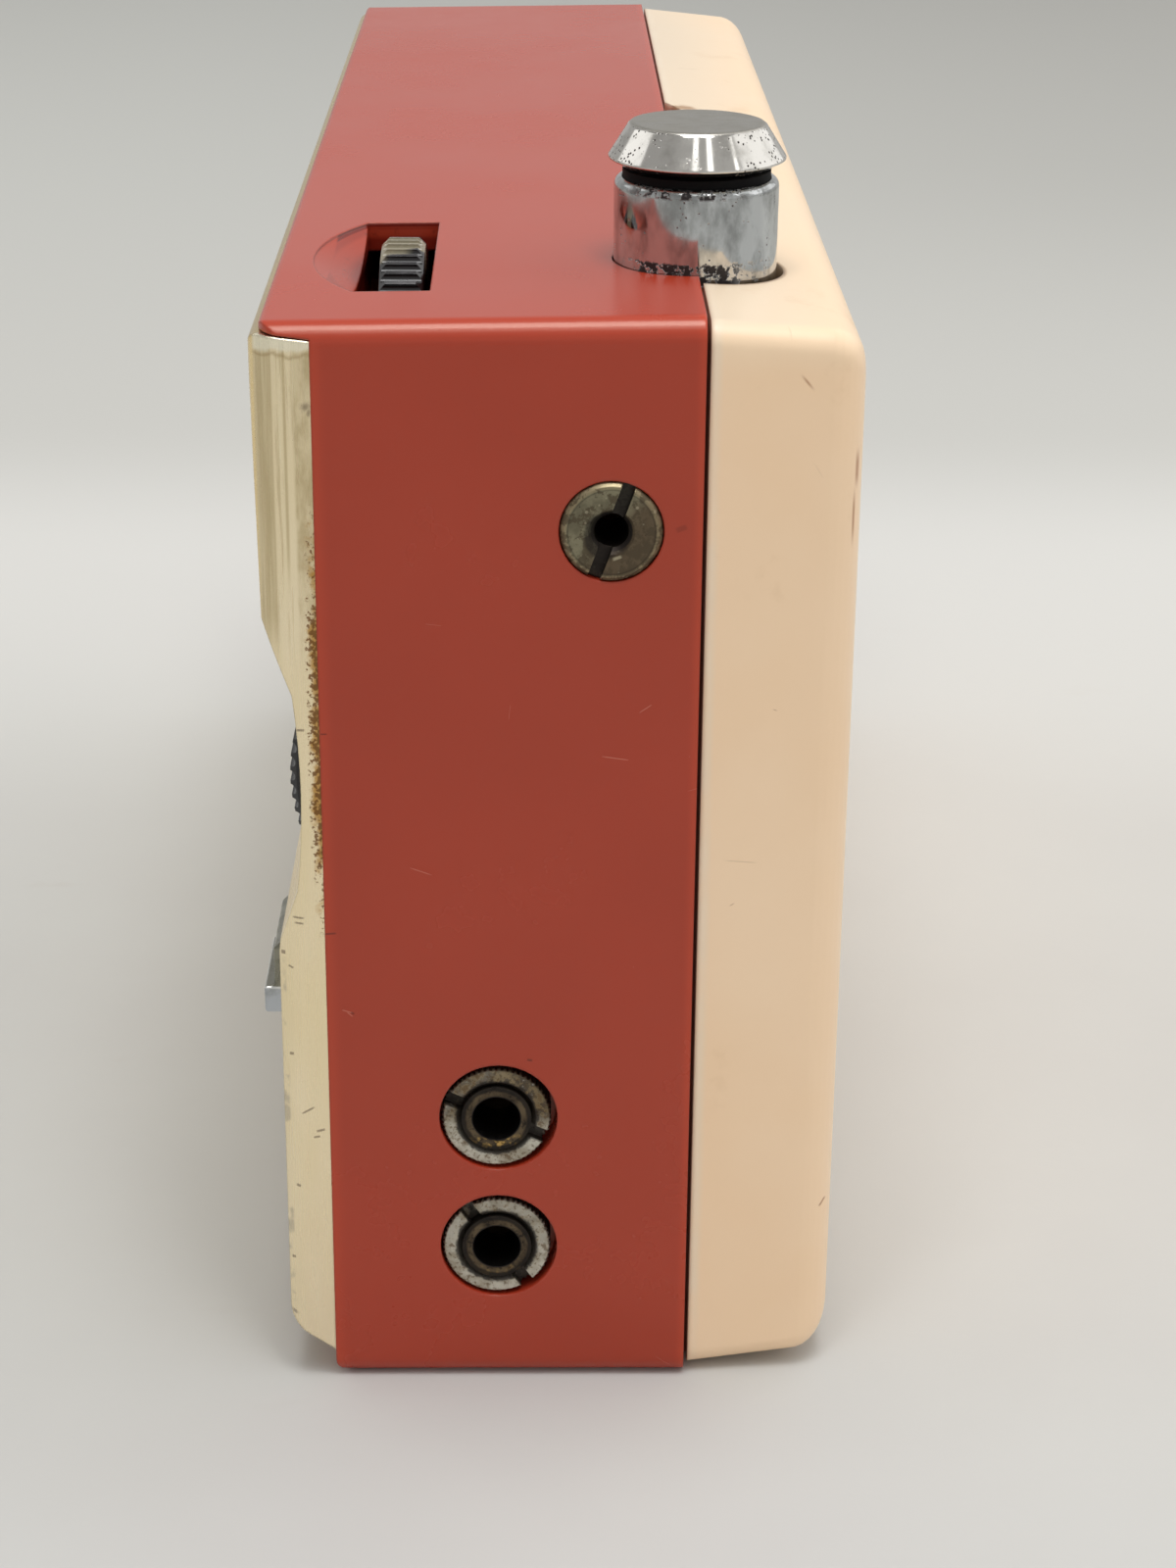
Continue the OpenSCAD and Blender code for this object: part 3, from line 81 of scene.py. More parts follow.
# Places and sizes of the solids and of painted zones on them, in millimetres
END_X = 73.0
SEAM_Y = 13.5
TOP_Z = 84.0
TOP_FALL = math.tan(math.radians(1))
AERIAL = (54.1, 13.5)
TUNING_AXIS = (-2.1, 48.6)
TUNING_R = 14.0
DRUM_R = 10.8
DRUM_X = (41.1, 63.1)
VOLUME_AXIS = (52.3, 73.2985)
VOLUME_R = 11.4
SOCKET_AXIS = (7.14, 68.95)
UPPER_JACK = (-1.0, 22.7)
LOWER_JACK = (-1.0, 11.6)
NUT_FACE_X = 72.75
KNOB_LEDGE_Z = 29.85
TOP_PAINTED_LIGHT_Z = 82.9
COVER_SIDE_LIGHT_Z = 81.0
COVER_TOP_SHEEN_Z = 83.1
BROW_Z = 82.0
SLOT_X = (38.0, 66.0)
SLOT_Y = (-13.2, -4.8)
SLOT_LOW_Z = 76.0
COVER_HOLE_R = 6.62
COVER_HOLE_LOW_Z = 76.0
NOTCH_R = 12.5
PANEL_BACK_Y = -13.5
CAP_TOP_Z = 93.78
COLLAR_FOOT_Z = (83.2, 84.75)
COLLAR_SHOULDER_Z = (89.35, 90.1)
SOCKET_RIM_R = 3.08
JACK_BORE_R = 1.82
NUT_R = (3.02, 3.9)
BOARD_BACK_Y = 8.5


def linear(red, green, blue):
    """Linear colour of an sRGB colour given in steps of 0 to 255."""
    def one(step):
        share = step / 255
        return share / 12.92 if share <= 0.04045 else ((share + 0.055) / 1.055) ** 2.4
    return (one(red), one(green), one(blue), 1.0)


class Paint:
    """Builds the nodes of one material from short calls."""

    def __init__(self, name, colour, rough, metal=0.0, **sockets):
        self.material = bpy.data.materials.new(name)
        self.material.use_nodes = True
        self.tree = self.material.node_tree
        self.shader = self.tree.nodes["Principled BSDF"]
        self.set("Base Color", colour)
        self.set("Roughness", rough)
        self.set("Metallic", metal)
        for socket, value in sockets.items():
            self.set(socket.replace("_", " "), value)
        self.place = self.put("ShaderNodeTexCoord", out="Object")
        self.axes = None

    def set(self, socket, value):
        """Gives a socket of the shader a value or a link."""
        self.join(value, self.shader.inputs[socket])

    def join(self, value, socket):
        if isinstance(value, bpy.types.NodeSocket):
            self.tree.links.new(value, socket)
        else:
            socket.default_value = value

    def put(self, kind, inputs=None, out=0, **settings):
        """Adds a node, fills its inputs and returns one of its outputs."""
        node = self.tree.nodes.new(kind)
        for key, value in settings.items():
            setattr(node, key, value)
        for key, value in (inputs or {}).items():
            self.join(value, node.inputs[key])
        return node.outputs[out]

    def axis(self, letter):
        """Place along one axis of the frame, in metres."""
        if self.axes is None:
            self.axes = self.put("ShaderNodeSeparateXYZ", {0: self.place}).node
        return self.axes.outputs["XYZ".index(letter)]

    def math(self, operation, first, second=0.0):
        return self.put("ShaderNodeMath", {0: first, 1: second}, operation=operation)

    def vector(self, operation, first, second=(0, 0, 0), out="Vector"):
        return self.put("ShaderNodeVectorMath", {0: first, 1: second}, out=out, operation=operation)

    def times(self, *values):
        product = values[0]
        for value in values[1:]:
            product = self.math("MULTIPLY", product, value)
        return product

    def plus(self, *values):
        total = values[0]
        for value in values[1:]:
            total = self.math("ADD", total, value)
        return total

    def most(self, *values):
        """Largest of some values."""
        top = values[0]
        for value in values[1:]:
            top = self.math("MAXIMUM", top, value)
        return top

    def stretched(self, stretch, shift=(0, 0, 0)):
        """Coordinates that are moved and stretched along the axes."""
        return self.put("ShaderNodeMapping", {"Vector": self.place, "Location": shift, "Scale": stretch})

    def noise(self, size, detail=2.0, rough=0.5, where=None):
        """Cloudy noise from 0 to 1 with features of about that size in metres."""
        return self.put("ShaderNodeTexNoise", {
            "Vector": where or self.place, "Scale": 1 / size, "Detail": detail, "Roughness": rough})

    def dots(self, size):
        """Distance to the nearest of scattered points, in shares of their spacing."""
        return self.put("ShaderNodeTexVoronoi", {"Vector": self.place, "Scale": 1 / size})

    def step(self, value, low, high, to_low=0.0, to_high=1.0):
        """Smooth rise from one value to another between two limits."""
        return self.put("ShaderNodeMapRange", {
            "Value": value, "From Min": low, "From Max": high, "To Min": to_low, "To Max": to_high},
            interpolation_type="SMOOTHSTEP")

    def band(self, value, low, high, edge):
        """One between two limits, with soft edges, and zero outside."""
        return self.times(self.step(value, low - edge, low + edge),
                          self.step(value, high - edge, high + edge, 1.0, 0.0))

    def slab(self, letter, low, high, edge):
        """One between two places along an axis, in millimetres."""
        return self.band(self.axis(letter), low * MM, high * MM, edge * MM)

    def past(self, letter, place, edge=0.1):
        """One beyond a place along an axis, in millimetres."""
        return self.step(self.axis(letter), (place - edge) * MM, (place + edge) * MM)

    def before(self, letter, place, edge=0.1):
        """One short of a place along an axis, in millimetres."""
        return self.step(self.axis(letter), (place - edge) * MM, (place + edge) * MM, 1.0, 0.0)

    def mix(self, share, first, second):
        """Colour between two, from the first at a share of zero to the second at one."""
        return self.put("ShaderNodeMix", {0: share, 6: first, 7: second}, out=2,
                        data_type="RGBA", clamp_factor=True)

    def far(self, centre, across):
        """Distance in metres from a line through a point, measured in the two named axes."""
        squares = []
        for letter, middle in zip(across, centre):
            off = self.math("SUBTRACT", self.axis(letter), middle * MM)
            squares.append(self.math("MULTIPLY", off, off))
        return self.math("SQRT", self.math("ADD", *squares))

    def stroke(self, y, z, length, width, turn=0.0, core=0.25):
        """Short stroke across an end face, in millimetres and degrees, full out to a share of its size."""
        lean = math.radians(turn)
        off = self.vector("SUBTRACT", self.place, (0, y * MM, z * MM))
        sides = []
        ways = (((0, math.cos(lean), math.sin(lean)), length), ((0, -math.sin(lean), math.cos(lean)), width))
        for way, size in ways:
            away = self.math("ABSOLUTE", self.vector("DOT_PRODUCT", off, way, "Value"))
            sides.append(self.step(away, core * size * MM, 0.5 * size * MM, 1.0, 0.0))
        return self.times(*sides)

    def strokes(self, places, depth=1.5):
        """Strokes within a depth of the end face, from rows of y, z, length, width, turn and core."""
        marks = self.most(*[self.stroke(*place) for place in places])
        return self.times(marks, self.past("X", END_X - depth, 0.3))

    def scratches(self, cell, reach, width, shift):
        """Short straight scratches at scattered places and turns."""
        where = self.stretched((1, 1, 1), shift)
        cells = self.put("ShaderNodeTexVoronoi", {"Vector": where, "Scale": 1 / cell}).node
        off = self.vector("SUBTRACT", where, cells.outputs["Position"])
        lean = self.vector("SUBTRACT", cells.outputs["Color"], (0.5, 0.5, 0.5))
        across = self.math("ABSOLUTE", self.vector("DOT_PRODUCT", off, lean, "Value"))
        away = self.vector("LENGTH", off, out="Value")
        return self.times(self.step(across, 0.3 * width, width, 1.0, 0.0),
                          self.step(away, 0.5 * reach, reach, 1.0, 0.0))

    def bump(self, height, depth, before=None):
        """Adds a height pattern of that depth in metres to the shading, on top of a normal."""
        inputs = {"Height": height, "Strength": 1.0, "Distance": depth}
        if before is not None:
            inputs["Normal"] = before
        self.set("Normal", self.put("ShaderNodeBump", inputs))

    def turned(self, normal, centre):
        """Normal of facets that is smoothed around an upright axis."""
        off = self.vector("SUBTRACT", self.place, (centre[0] * MM, centre[1] * MM, 0))
        out = self.vector("NORMALIZE", self.vector("MULTIPLY", off, (1, 1, 0)))
        height = self.vector("MULTIPLY", normal, (0, 0, 1))
        across = self.vector("SUBTRACT", normal, height)
        side = self.math("SIGN", self.vector("DOT_PRODUCT", across, out, "Value"))
        reach = self.times(self.vector("LENGTH", across, out="Value"), side)
        lean = self.put("ShaderNodeVectorMath", {0: out, "Scale": reach}, operation="SCALE")
        return self.vector("ADD", lean, height)

    def soft_edges(self, radius):
        """Normal with edges rounded by that radius in metres."""
        return self.put("ShaderNodeBevel", {"Radius": radius}, samples=8)


def dress(paint, *names):
    """Gives CAD nodes a material."""
    for name in names:
        slots = nodes[name].data.materials
        slots.clear()
        slots.append(paint.material)


# Coral moulding of the cabinet
def coral_paint():
    p = Paint("coral_plastic", linear(167, 54, 33), 0.26, Specular_IOR_Level=0.58,
              Specular_Tint=(1.0, 0.9, 0.78, 1.0))
    cloud = p.noise(24 * MM, 2.0)
    colour = p.mix(p.step(cloud, 0.3, 0.75), linear(164, 53, 32), linear(171, 56, 35))
    # Painted light: the top is painted lighter and redder, as if lit from above
    colour = p.mix(p.past("Z", TOP_PAINTED_LIGHT_Z, 0.7), colour, linear(177, 61, 39))
    # Lighter orange along the seam, and a painted reflection of the gold panel on the red beside it
    at_seam = p.times(p.past("Y", SEAM_Y - 0.45, 0.35), 0.35)
    panel_reflection = p.times(p.before("Y", PANEL_BACK_Y + 0.6, 0.6), p.past("X", END_X - 0.8),
                       p.before("Z", BROW_Z, 0.6), 0.28)
    colour = p.mix(p.most(at_seam, panel_reflection), colour, linear(206, 72, 42))
    hairs = p.times(p.scratches(10 * MM, 0.9 * MM, 0.012 * MM, (0.01, 0.02, 0.03)), 0.6)
    marks = p.strokes([
        (7.6, 52.0, 2.2, 0.1, -8), (9.7, 55.8, 1.2, 0.09, 35), (-6.4, 43.1, 1.8, 0.09, -20),
        (-12.0, 31.75, 0.9, 0.12, -18), (-11.8, 31.5, 0.6, 0.1, -40)])
    pale = p.most(p.times(hairs, 0.3), p.times(marks, 0.5))
    colour = p.mix(pale, colour, linear(206, 128, 108))
    stains = p.most(
        p.strokes([(-13.2, 53.8, 0.6, 0.16, 0), (1.5, 27.7, 0.5, 0.25, -10), (-13.1, 38.1, 1.1, 0.2, 4),
                   (-11.6, 31.6, 0.35, 0.2, -30)]),
        p.times(p.stroke(12.0, 69.2, 1.0, 0.5, 20), 0.5, p.past("X", END_X - 0.5)))
    colour = p.mix(p.times(stains, 0.65), colour, linear(86, 24, 15))
    top_here = p.plus(p.times(p.axis("Y"), TOP_FALL), (TOP_Z - SEAM_Y * TOP_FALL) * MM)
    under = p.math("SUBTRACT", top_here, p.axis("Z"))
    slot_place = p.times(p.slab("Y", *SLOT_Y, 0.1), p.slab("X", *SLOT_X, 0.1), p.past("Z", SLOT_LOW_Z, 0.1))
    # Painted shade: a dark red line on the thin wall at the rim of the scoop, and darker red deeper in the
    # slot
    rim = p.times(slot_place, p.most(p.band(under, 0.05 * MM, 0.32 * MM, 0.03 * MM),
                                     p.times(p.band(under, 0.3 * MM, 0.55 * MM, 0.1 * MM), 0.4)))
    deep_slot_shade = p.times(slot_place, p.step(under, 0.9 * MM, 1.4 * MM))
    colour = p.mix(p.most(p.times(rim, 0.9), p.times(deep_slot_shade, 0.75)), colour, linear(112, 20, 12))
    dirt = p.step(p.noise(0.9 * MM, 4.0, 0.65), 0.56, 0.72)
    grime = p.times(slot_place, p.step(under, 0.3 * MM, 0.5 * MM), dirt)
    p.set("Base Color", p.mix(p.times(grime, 0.35), colour, linear(60, 26, 20)))
    grain = p.noise(1.6 * MM, 2.0)
    p.set("Roughness", p.plus(p.step(cloud, 0.2, 0.8, 0.2, 0.27), p.times(pale, 0.3), p.times(grain, 0.04)))
    p.bump(p.plus(p.times(grain, 0.12), p.times(pale, -1.0)), 0.008 * MM, p.soft_edges(0.3 * MM))
    return p


# Cream moulding of the back cover
def cream_paint():
    p = Paint("cream_plastic", linear(250, 219, 183), 0.36, Specular_IOR_Level=0.5)
    cloud = p.noise(24 * MM, 3.0)
    colour = p.mix(p.step(cloud, 0.35, 0.8), linear(251, 220, 185), linear(247, 212, 173))
    # Painted light: the upper side is painted lighter towards the rounded top edge, and the top is painted
    # paler as a painted sheen
    colour = p.mix(p.times(p.past("Z", COVER_SIDE_LIGHT_Z, 1.6), 0.4), colour, linear(255, 230, 197))
    colour = p.mix(p.past("Z", COVER_TOP_SHEEN_Z, 0.5), colour, linear(236, 216, 189))
    blotch = p.times(p.step(p.noise(5 * MM, 4.0, 0.6), 0.58, 0.75), p.step(p.noise(19 * MM, 1.0), 0.45, 0.6))
    colour = p.mix(p.times(blotch, 0.22), colour, linear(214, 174, 128))
    hairs = p.scratches(9 * MM, 1.4 * MM, 0.03 * MM, (0.03, 0.06, 0.01))
    strip = p.slab("Y", SEAM_Y, SEAM_Y + 1.0, 0.35)
    strip = p.times(strip, p.step(p.noise(6 * MM, 3.0), 0.3, 0.6, 0.2, 0.6))
    colour = p.mix(strip, colour, linear(240, 224, 200))
    colour = p.mix(p.times(hairs, 0.3), colour, linear(176, 146, 112))
    marks = p.strokes([
        (24.3, 72.9, 0.4, 3.4, 0, 0.1), (24.15, 69.4, 0.28, 5.0, 0, 0.1), (20.5, 79.4, 1.8, 0.3, -50, 0.0),
        (24.0, 14.4, 0.9, 0.25, 50), (16.3, 40.2, 0.6, 0.12, 30, 0.0), (19.0, 55.4, 0.5, 0.1, -20, 0.0)], 5.0)
    colour = p.mix(p.times(marks, 0.65), colour, linear(158, 92, 46))
    round_notch = p.step(p.far((0.0, SEAM_Y), "XY"), NOTCH_R * MM, (NOTCH_R - 1.5) * MM)
    notch = p.times(round_notch, p.past("Z", 80.5), p.before("Y", 16.6, 0.5),
                    p.step(p.noise(2.5 * MM, 4.0, 0.6), 0.4, 0.62))
    # Painted shade on the wall of the aerial hole, in the same brown as the stain round the notch
    hole = p.step(p.far(AERIAL, "XY"), COVER_HOLE_R * MM, (COVER_HOLE_R + 0.28) * MM, 1.0, 0.0)
    hole_wall_shade = p.times(hole, p.past("Z", COVER_HOLE_LOW_Z))
    colour = p.mix(p.most(p.times(notch, 0.75), p.times(hole_wall_shade, 0.5)), colour, linear(158, 110, 62))
    groove = p.before("Y", SEAM_Y + 0.3, 0.06)
    p.set("Base Color", p.mix(groove, colour, linear(98, 58, 42)))
    grain = p.noise(0.8 * MM, 3.0)
    p.set("Roughness", p.plus(p.step(cloud, 0.2, 0.8, 0.26, 0.38), p.times(grain, 0.06)))
    p.bump(p.plus(p.times(grain, 0.3), p.times(hairs, -0.6)), 0.012 * MM, p.soft_edges(0.6 * MM))
    return p


# Gold plating of the front panel, with streaks and painted reflections on its end and tarnish along the
# cabinet
def gold_paint():
    p = Paint("gold_panel", linear(244, 228, 194), 0.26, 1.0)
    tone = p.noise(5 * MM, 3.0, 0.5, p.stretched((1, 1, 0.3)))
    colour = p.mix(p.step(tone, 0.3, 0.75), linear(243, 225, 185), linear(249, 233, 200))
    end = p.past("X", END_X - 1.0, 0.2)
    lines = p.noise(0.3 * MM, 3.0, 0.6, p.stretched((0.02, 1, 1)))
    face = p.mix(p.step(lines, 0.3, 0.7), linear(226, 199, 141), linear(235, 212, 160))
    colour = p.mix(end, face, colour)
    upper = p.times(end, p.past("Z", 62.0, 5.0))
    olive = linear(204, 185, 145)
    fine = p.noise(0.32 * MM, 3.0, 0.6, p.stretched((1, 1, 0.03)))
    patch = p.step(p.noise(1.4 * MM, 4.0, 0.6, p.stretched((1, 1, 0.4))), 0.4, 0.62)
    back_part = p.times(upper, p.past("Y", -14.7, 0.15), p.plus(0.35, p.times(patch, 0.6)))
    gap = p.times(upper, p.slab("Y", -15.4, -15.2, 0.07), p.past("Z", 66.0, 3.0), 0.8)
    # Painted reflection: the rounded front edge of the end is painted olive in streaks, as if it reflected
    # darker surroundings
    front_edge_dark_reflection = p.times(end, p.before("Y", -16.15, 0.08), p.past("Z", 61.0, 2.0),
                         p.step(fine, 0.3, 0.7, 0.5, 0.95))
    thin = p.times(upper, p.step(fine, 0.52, 0.66), 0.6)
    colour = p.mix(p.most(back_part, gap, front_edge_dark_reflection, thin), colour, olive)
    # Painted reflections: two bright streaks on the rounded front edge, a bright band on the rounded crown
    # and a wavy darker band under it
    streak = p.times(upper, p.slab("Y", -16.05, -15.5, 0.12), p.step(fine, 0.42, 0.3))
    wave = p.plus(p.axis("Z"), p.times(p.noise(1.1 * MM, 3.0), 0.9 * MM))
    crown_highlight = p.times(end, p.step(wave, 82.0 * MM, 82.4 * MM))
    colour = p.mix(p.most(p.times(streak, 0.6), p.times(crown_highlight, 0.7)), colour, linear(255, 249, 226))
    crown_dark_band = p.times(end, p.band(wave, 81.75 * MM, 81.95 * MM, 0.15 * MM))
    colour = p.mix(p.times(crown_dark_band, 0.5), colour, linear(160, 132, 84))
    near = p.step(p.axis("Y"), (PANEL_BACK_Y - 1.1) * MM, PANEL_BACK_Y * MM)
    tall = p.plus(p.times(p.band(p.axis("Z"), 45 * MM, 63 * MM, 3 * MM), 0.6),
                  p.times(p.band(p.axis("Z"), 39 * MM, 70 * MM, 4 * MM), 0.4))
    spread = p.times(near, tall, end)
    spots = p.step(p.plus(p.noise(0.3 * MM, 2.0, 0.6), p.times(spread, 0.24)), 0.62, 0.72)
    spots = p.times(spots, p.step(spread, 0.05, 0.2))
    film = p.times(p.step(p.plus(p.noise(1.1 * MM, 4.0, 0.6), p.times(spread, 0.4)), 0.6, 0.88),
                   p.step(spread, 0.0, 0.2))
    colour = p.mix(p.times(film, 0.9), colour, linear(192, 146, 74))
    colour = p.mix(p.times(spots, 0.9), colour, linear(118, 76, 26))
    nicks = p.strokes([
        (-14.84, 54.1, 0.7, 0.24, 0), (-15.4, 39.4, 1.0, 0.2, -8), (-15.35, 38.95, 0.8, 0.2, -8),
        (-16.2, 28.2, 0.4, 0.3, 0), (-15.1, 23.45, 1.3, 0.2, 30), (-14.2, 21.75, 0.8, 0.25, 15),
        (-14.5, 21.2, 0.6, 0.22, 10), (-15.98, 17.0, 0.4, 0.28, -20), (-16.54, 10.66, 0.35, 0.3, 0),
        (-16.6, 36.5, 0.4, 0.4, 0), (-16.06, 35.4, 0.5, 0.2, -25), (-13.85, 77.8, 1.1, 0.9, 20, 0.0),
        (-13.65, 77.4, 0.4, 0.9, 0, 0.0), (-16.6, 5.8, 0.9, 0.4, -35, 0.0)])
    colour = p.mix(p.times(nicks, 0.66), colour, linear(84, 60, 38))
    # Pale grey patches along the lower front edge
    grey_front_patches = p.times(end, p.before("Y", -16.45, 0.1), p.step(p.noise(2.6 * MM, 4.0, 0.6), 0.52, 0.62),
                   p.before("Z", 36.0, 3.0))
    hairs = p.scratches(6 * MM, 1.2 * MM, 0.014 * MM, (0.02, 0.04, 0.06))
    colour = p.mix(p.times(grey_front_patches, 0.5), colour, linear(168, 162, 150))
    p.set("Base Color", p.mix(p.times(hairs, 0.25), colour, linear(206, 190, 150)))
    p.set("Metallic", p.math("SUBTRACT", 1.0, p.times(p.most(spots, nicks), 0.8)))
    grain = p.plus(p.times(fine, end), p.times(lines, p.math("SUBTRACT", 1.0, end)))
    p.set("Roughness", p.plus(p.step(grain, 0.3, 0.8, 0.22, 0.32), p.times(film, 0.2), p.times(spots, 0.35)))
    p.bump(p.plus(p.times(grain, 0.03), p.times(spots, -1.0), p.times(hairs, -0.4)), 0.015 * MM,
           p.soft_edges(0.3 * MM))
    return p


# Bright chrome of the aerial tubes
def chrome_paint(name, tone, rough):
    p = Paint(name, linear(*tone), rough, 1.0)
    haze = p.noise(2.2 * MM, 4.0, 0.6)
    dull = tuple(0.95 * step for step in tone)
    p.set("Base Color", p.mix(p.step(haze, 0.4, 0.8), linear(*tone), linear(*dull)))
    hairs = p.scratches(3 * MM, 1.0 * MM, 0.012 * MM, (0.01, 0.05, 0.02))
    p.set("Roughness", p.plus(p.step(haze, 0.35, 0.8, rough, rough + 0.04), p.times(hairs, 0.15)))
    p.bump(p.times(hairs, -1.0), 0.004 * MM, p.turned(p.soft_edges(0.15 * MM), AERIAL))
    return p


# Chrome of the cap, brushed on top and pitted at its sides
def cap_paint():
    p = Paint("cap_chrome", linear(212, 213, 214), 0.1, 1.0)
    top = p.past("Z", CAP_TOP_Z, 0.06)
    brush = p.noise(0.35 * MM, 3.0, 0.6, p.stretched((1, 0.08, 1)))
    haze = p.noise(1.8 * MM, 4.0, 0.6)
    colour = p.mix(p.step(haze, 0.4, 0.8), linear(216, 213, 207), linear(184, 181, 174))
    colour = p.mix(p.times(top, 0.75), colour, linear(168, 164, 154))
    side = p.step(p.math("ABSOLUTE", p.math("SUBTRACT", p.axis("Y"), AERIAL[1] * MM)), 1.6 * MM, 3.0 * MM)
    clusters = p.step(p.plus(p.noise(1.5 * MM, 2.0), p.times(side, 0.16)), 0.58, 0.66)
    pits = p.times(p.step(p.dots(0.34 * MM), 0.2, 0.3, 1.0, 0.0), clusters, p.math("SUBTRACT", 1.0, top))
    p.set("Base Color", p.mix(pits, colour, linear(44, 36, 33)))
    p.set("Metallic", p.math("SUBTRACT", 1.0, p.times(pits, 0.9)))
    brushed = p.times(top, p.step(brush, 0.3, 0.8, 0.16, 0.34))
    p.set("Roughness", p.plus(p.step(haze, 0.35, 0.8, 0.08, 0.18), brushed, p.times(pits, 0.5)))
    smooth = p.turned(p.soft_edges(0.15 * MM), AERIAL)
    p.bump(p.plus(p.times(pits, -1.0), p.times(top, brush, 0.3)), 0.02 * MM, smooth)
    return p


# Chrome of the collar, flaked black along its foot and on its shoulder
def collar_paint():
    p = Paint("collar_chrome", linear(206, 208, 209), 0.1, 1.0)
    haze = p.noise(1.6 * MM, 4.0, 0.6, p.stretched((1, 1, 0.5)))
    colour = p.mix(p.step(haze, 0.36, 0.7), linear(198, 200, 200), linear(146, 148, 147))
    facing = p.past("X", 57.5, 1.0)
    off = p.math("ABSOLUTE", p.math("SUBTRACT", p.axis("Y"), (AERIAL[1] - 0.9) * MM))
    middle = p.step(off, 3.0 * MM, 4.6 * MM, 1.0, 0.3)
    foot = p.times(p.slab("Z", *COLLAR_FOOT_Z, 0.12), p.plus(0.35, p.times(facing, 0.65)), middle)
    shoulder = p.times(p.slab("Z", *COLLAR_SHOULDER_Z, 0.1), facing)
    ragged = p.noise(0.75 * MM, 5.0, 0.7)
    flakes = p.most(p.times(foot, p.step(p.plus(ragged, p.times(foot, 0.12)), 0.58, 0.63)),
                    p.times(shoulder, middle, p.step(ragged, 0.5, 0.55)))
    clusters = p.step(p.noise(1.7 * MM, 2.0), 0.58, 0.66)
    pits = p.times(p.step(p.dots(0.4 * MM), 0.14, 0.22, 1.0, 0.0), clusters)
    dark = p.most(flakes, p.times(pits, 0.8))
    p.set("Base Color", p.mix(dark, colour, linear(30, 23, 23)))
    p.set("Metallic", p.math("SUBTRACT", 1.0, p.times(dark, 0.95)))
    p.set("Roughness", p.plus(p.step(haze, 0.35, 0.8, 0.06, 0.16), p.times(dark, 0.5)))
    p.bump(p.times(dark, -1.0), 0.03 * MM, p.turned(p.soft_edges(0.25 * MM), AERIAL))
    return p


# Worn metal with soft tarnish and fine dirt
def worn_metal(name, clean, dull, dirt, rough, metal=0.8, amount=0.0):
    p = Paint(name, clean, rough, metal)
    patch = p.noise(1.5 * MM, 4.0, 0.6)
    fine = p.noise(0.28 * MM, 3.0, 0.6)
    colour = p.mix(p.step(patch, 0.36, 0.64), clean, dull)
    spots = p.step(p.plus(fine, p.times(patch, 0.35)), 0.86 - amount, 0.95 - amount)
    p.set("Base Color", p.mix(p.times(spots, 0.8), colour, dirt))
    p.set("Roughness", p.plus(p.step(patch, 0.3, 0.7, rough - 0.06, rough + 0.08), p.times(spots, 0.2)))
    p.bump(p.plus(p.times(fine, 0.6), p.times(spots, -0.6)), 0.02 * MM, p.soft_edges(0.1 * MM))
    return p, colour, spots


# Slotted head of the aerial socket, with painted shade in its slot and bore
def bush_paint():
    p, colour, spots = worn_metal("bush_nickel", linear(134, 128, 104), linear(108, 102, 82),
                                  linear(58, 48, 38), 0.42, 0.75)
    away = p.far(SOCKET_AXIS, "YZ")
    low_right = p.step(p.plus(p.math("SUBTRACT", p.axis("Y"), SOCKET_AXIS[0] * MM),
                              p.times(p.math("SUBTRACT", p.axis("Z"), SOCKET_AXIS[1] * MM), -0.8),
                              p.times(p.noise(2.2 * MM, 3.0), 1.6 * MM)), -0.4 * MM, 2.2 * MM)
    colour = p.mix(p.times(low_right, 0.85), colour, linear(92, 76, 58))
    rim = p.step(away, SOCKET_RIM_R * MM, (SOCKET_RIM_R + 0.14) * MM)
    colour = p.mix(p.times(rim, 0.6), colour, linear(158, 142, 110))
    ring = p.band(away, 3.02 * MM, 3.1 * MM, 0.06 * MM)
    # Painted shade: the slot floor and the bore are painted dark, but not the side of the flange
    side = p.times(p.step(away, 3.2 * MM, 3.3 * MM), p.past("X", 72.6, 0.05))
    recess_shade = p.times(p.before("X", END_X - 0.02, 0.05), p.math("SUBTRACT", 1.0, side))
    mottle = p.times(p.step(p.noise(0.8 * MM, 4.0, 0.7), 0.47, 0.57), 0.75)
    colour = p.mix(mottle, colour, linear(80, 69, 53))
    flecks = p.most(p.stroke(7.55, 67.1, 0.8, 0.3, 20), p.stroke(6.4, 65.6, 0.25, 0.6, -10),
                    p.times(p.step(p.dots(0.9 * MM), 0.1, 0.16, 1.0, 0.0), 0.6))
    colour = p.mix(p.times(flecks, 0.6), colour, linear(190, 180, 152))
    crater = p.step(p.plus(p.far((SOCKET_AXIS[0] - 0.35, SOCKET_AXIS[1] - 0.3), "YZ"),
                           p.times(p.noise(1.1 * MM, 3.0), 0.6 * MM)), 1.75 * MM, 2.15 * MM, 1.0, 0.0)
    dark = p.most(p.times(recess_shade, 0.92), p.times(ring, 0.45), p.times(spots, 0.5), p.times(crater, 0.75))
    p.set("Base Color", p.mix(dark, colour, linear(30, 25, 24)))
    return p


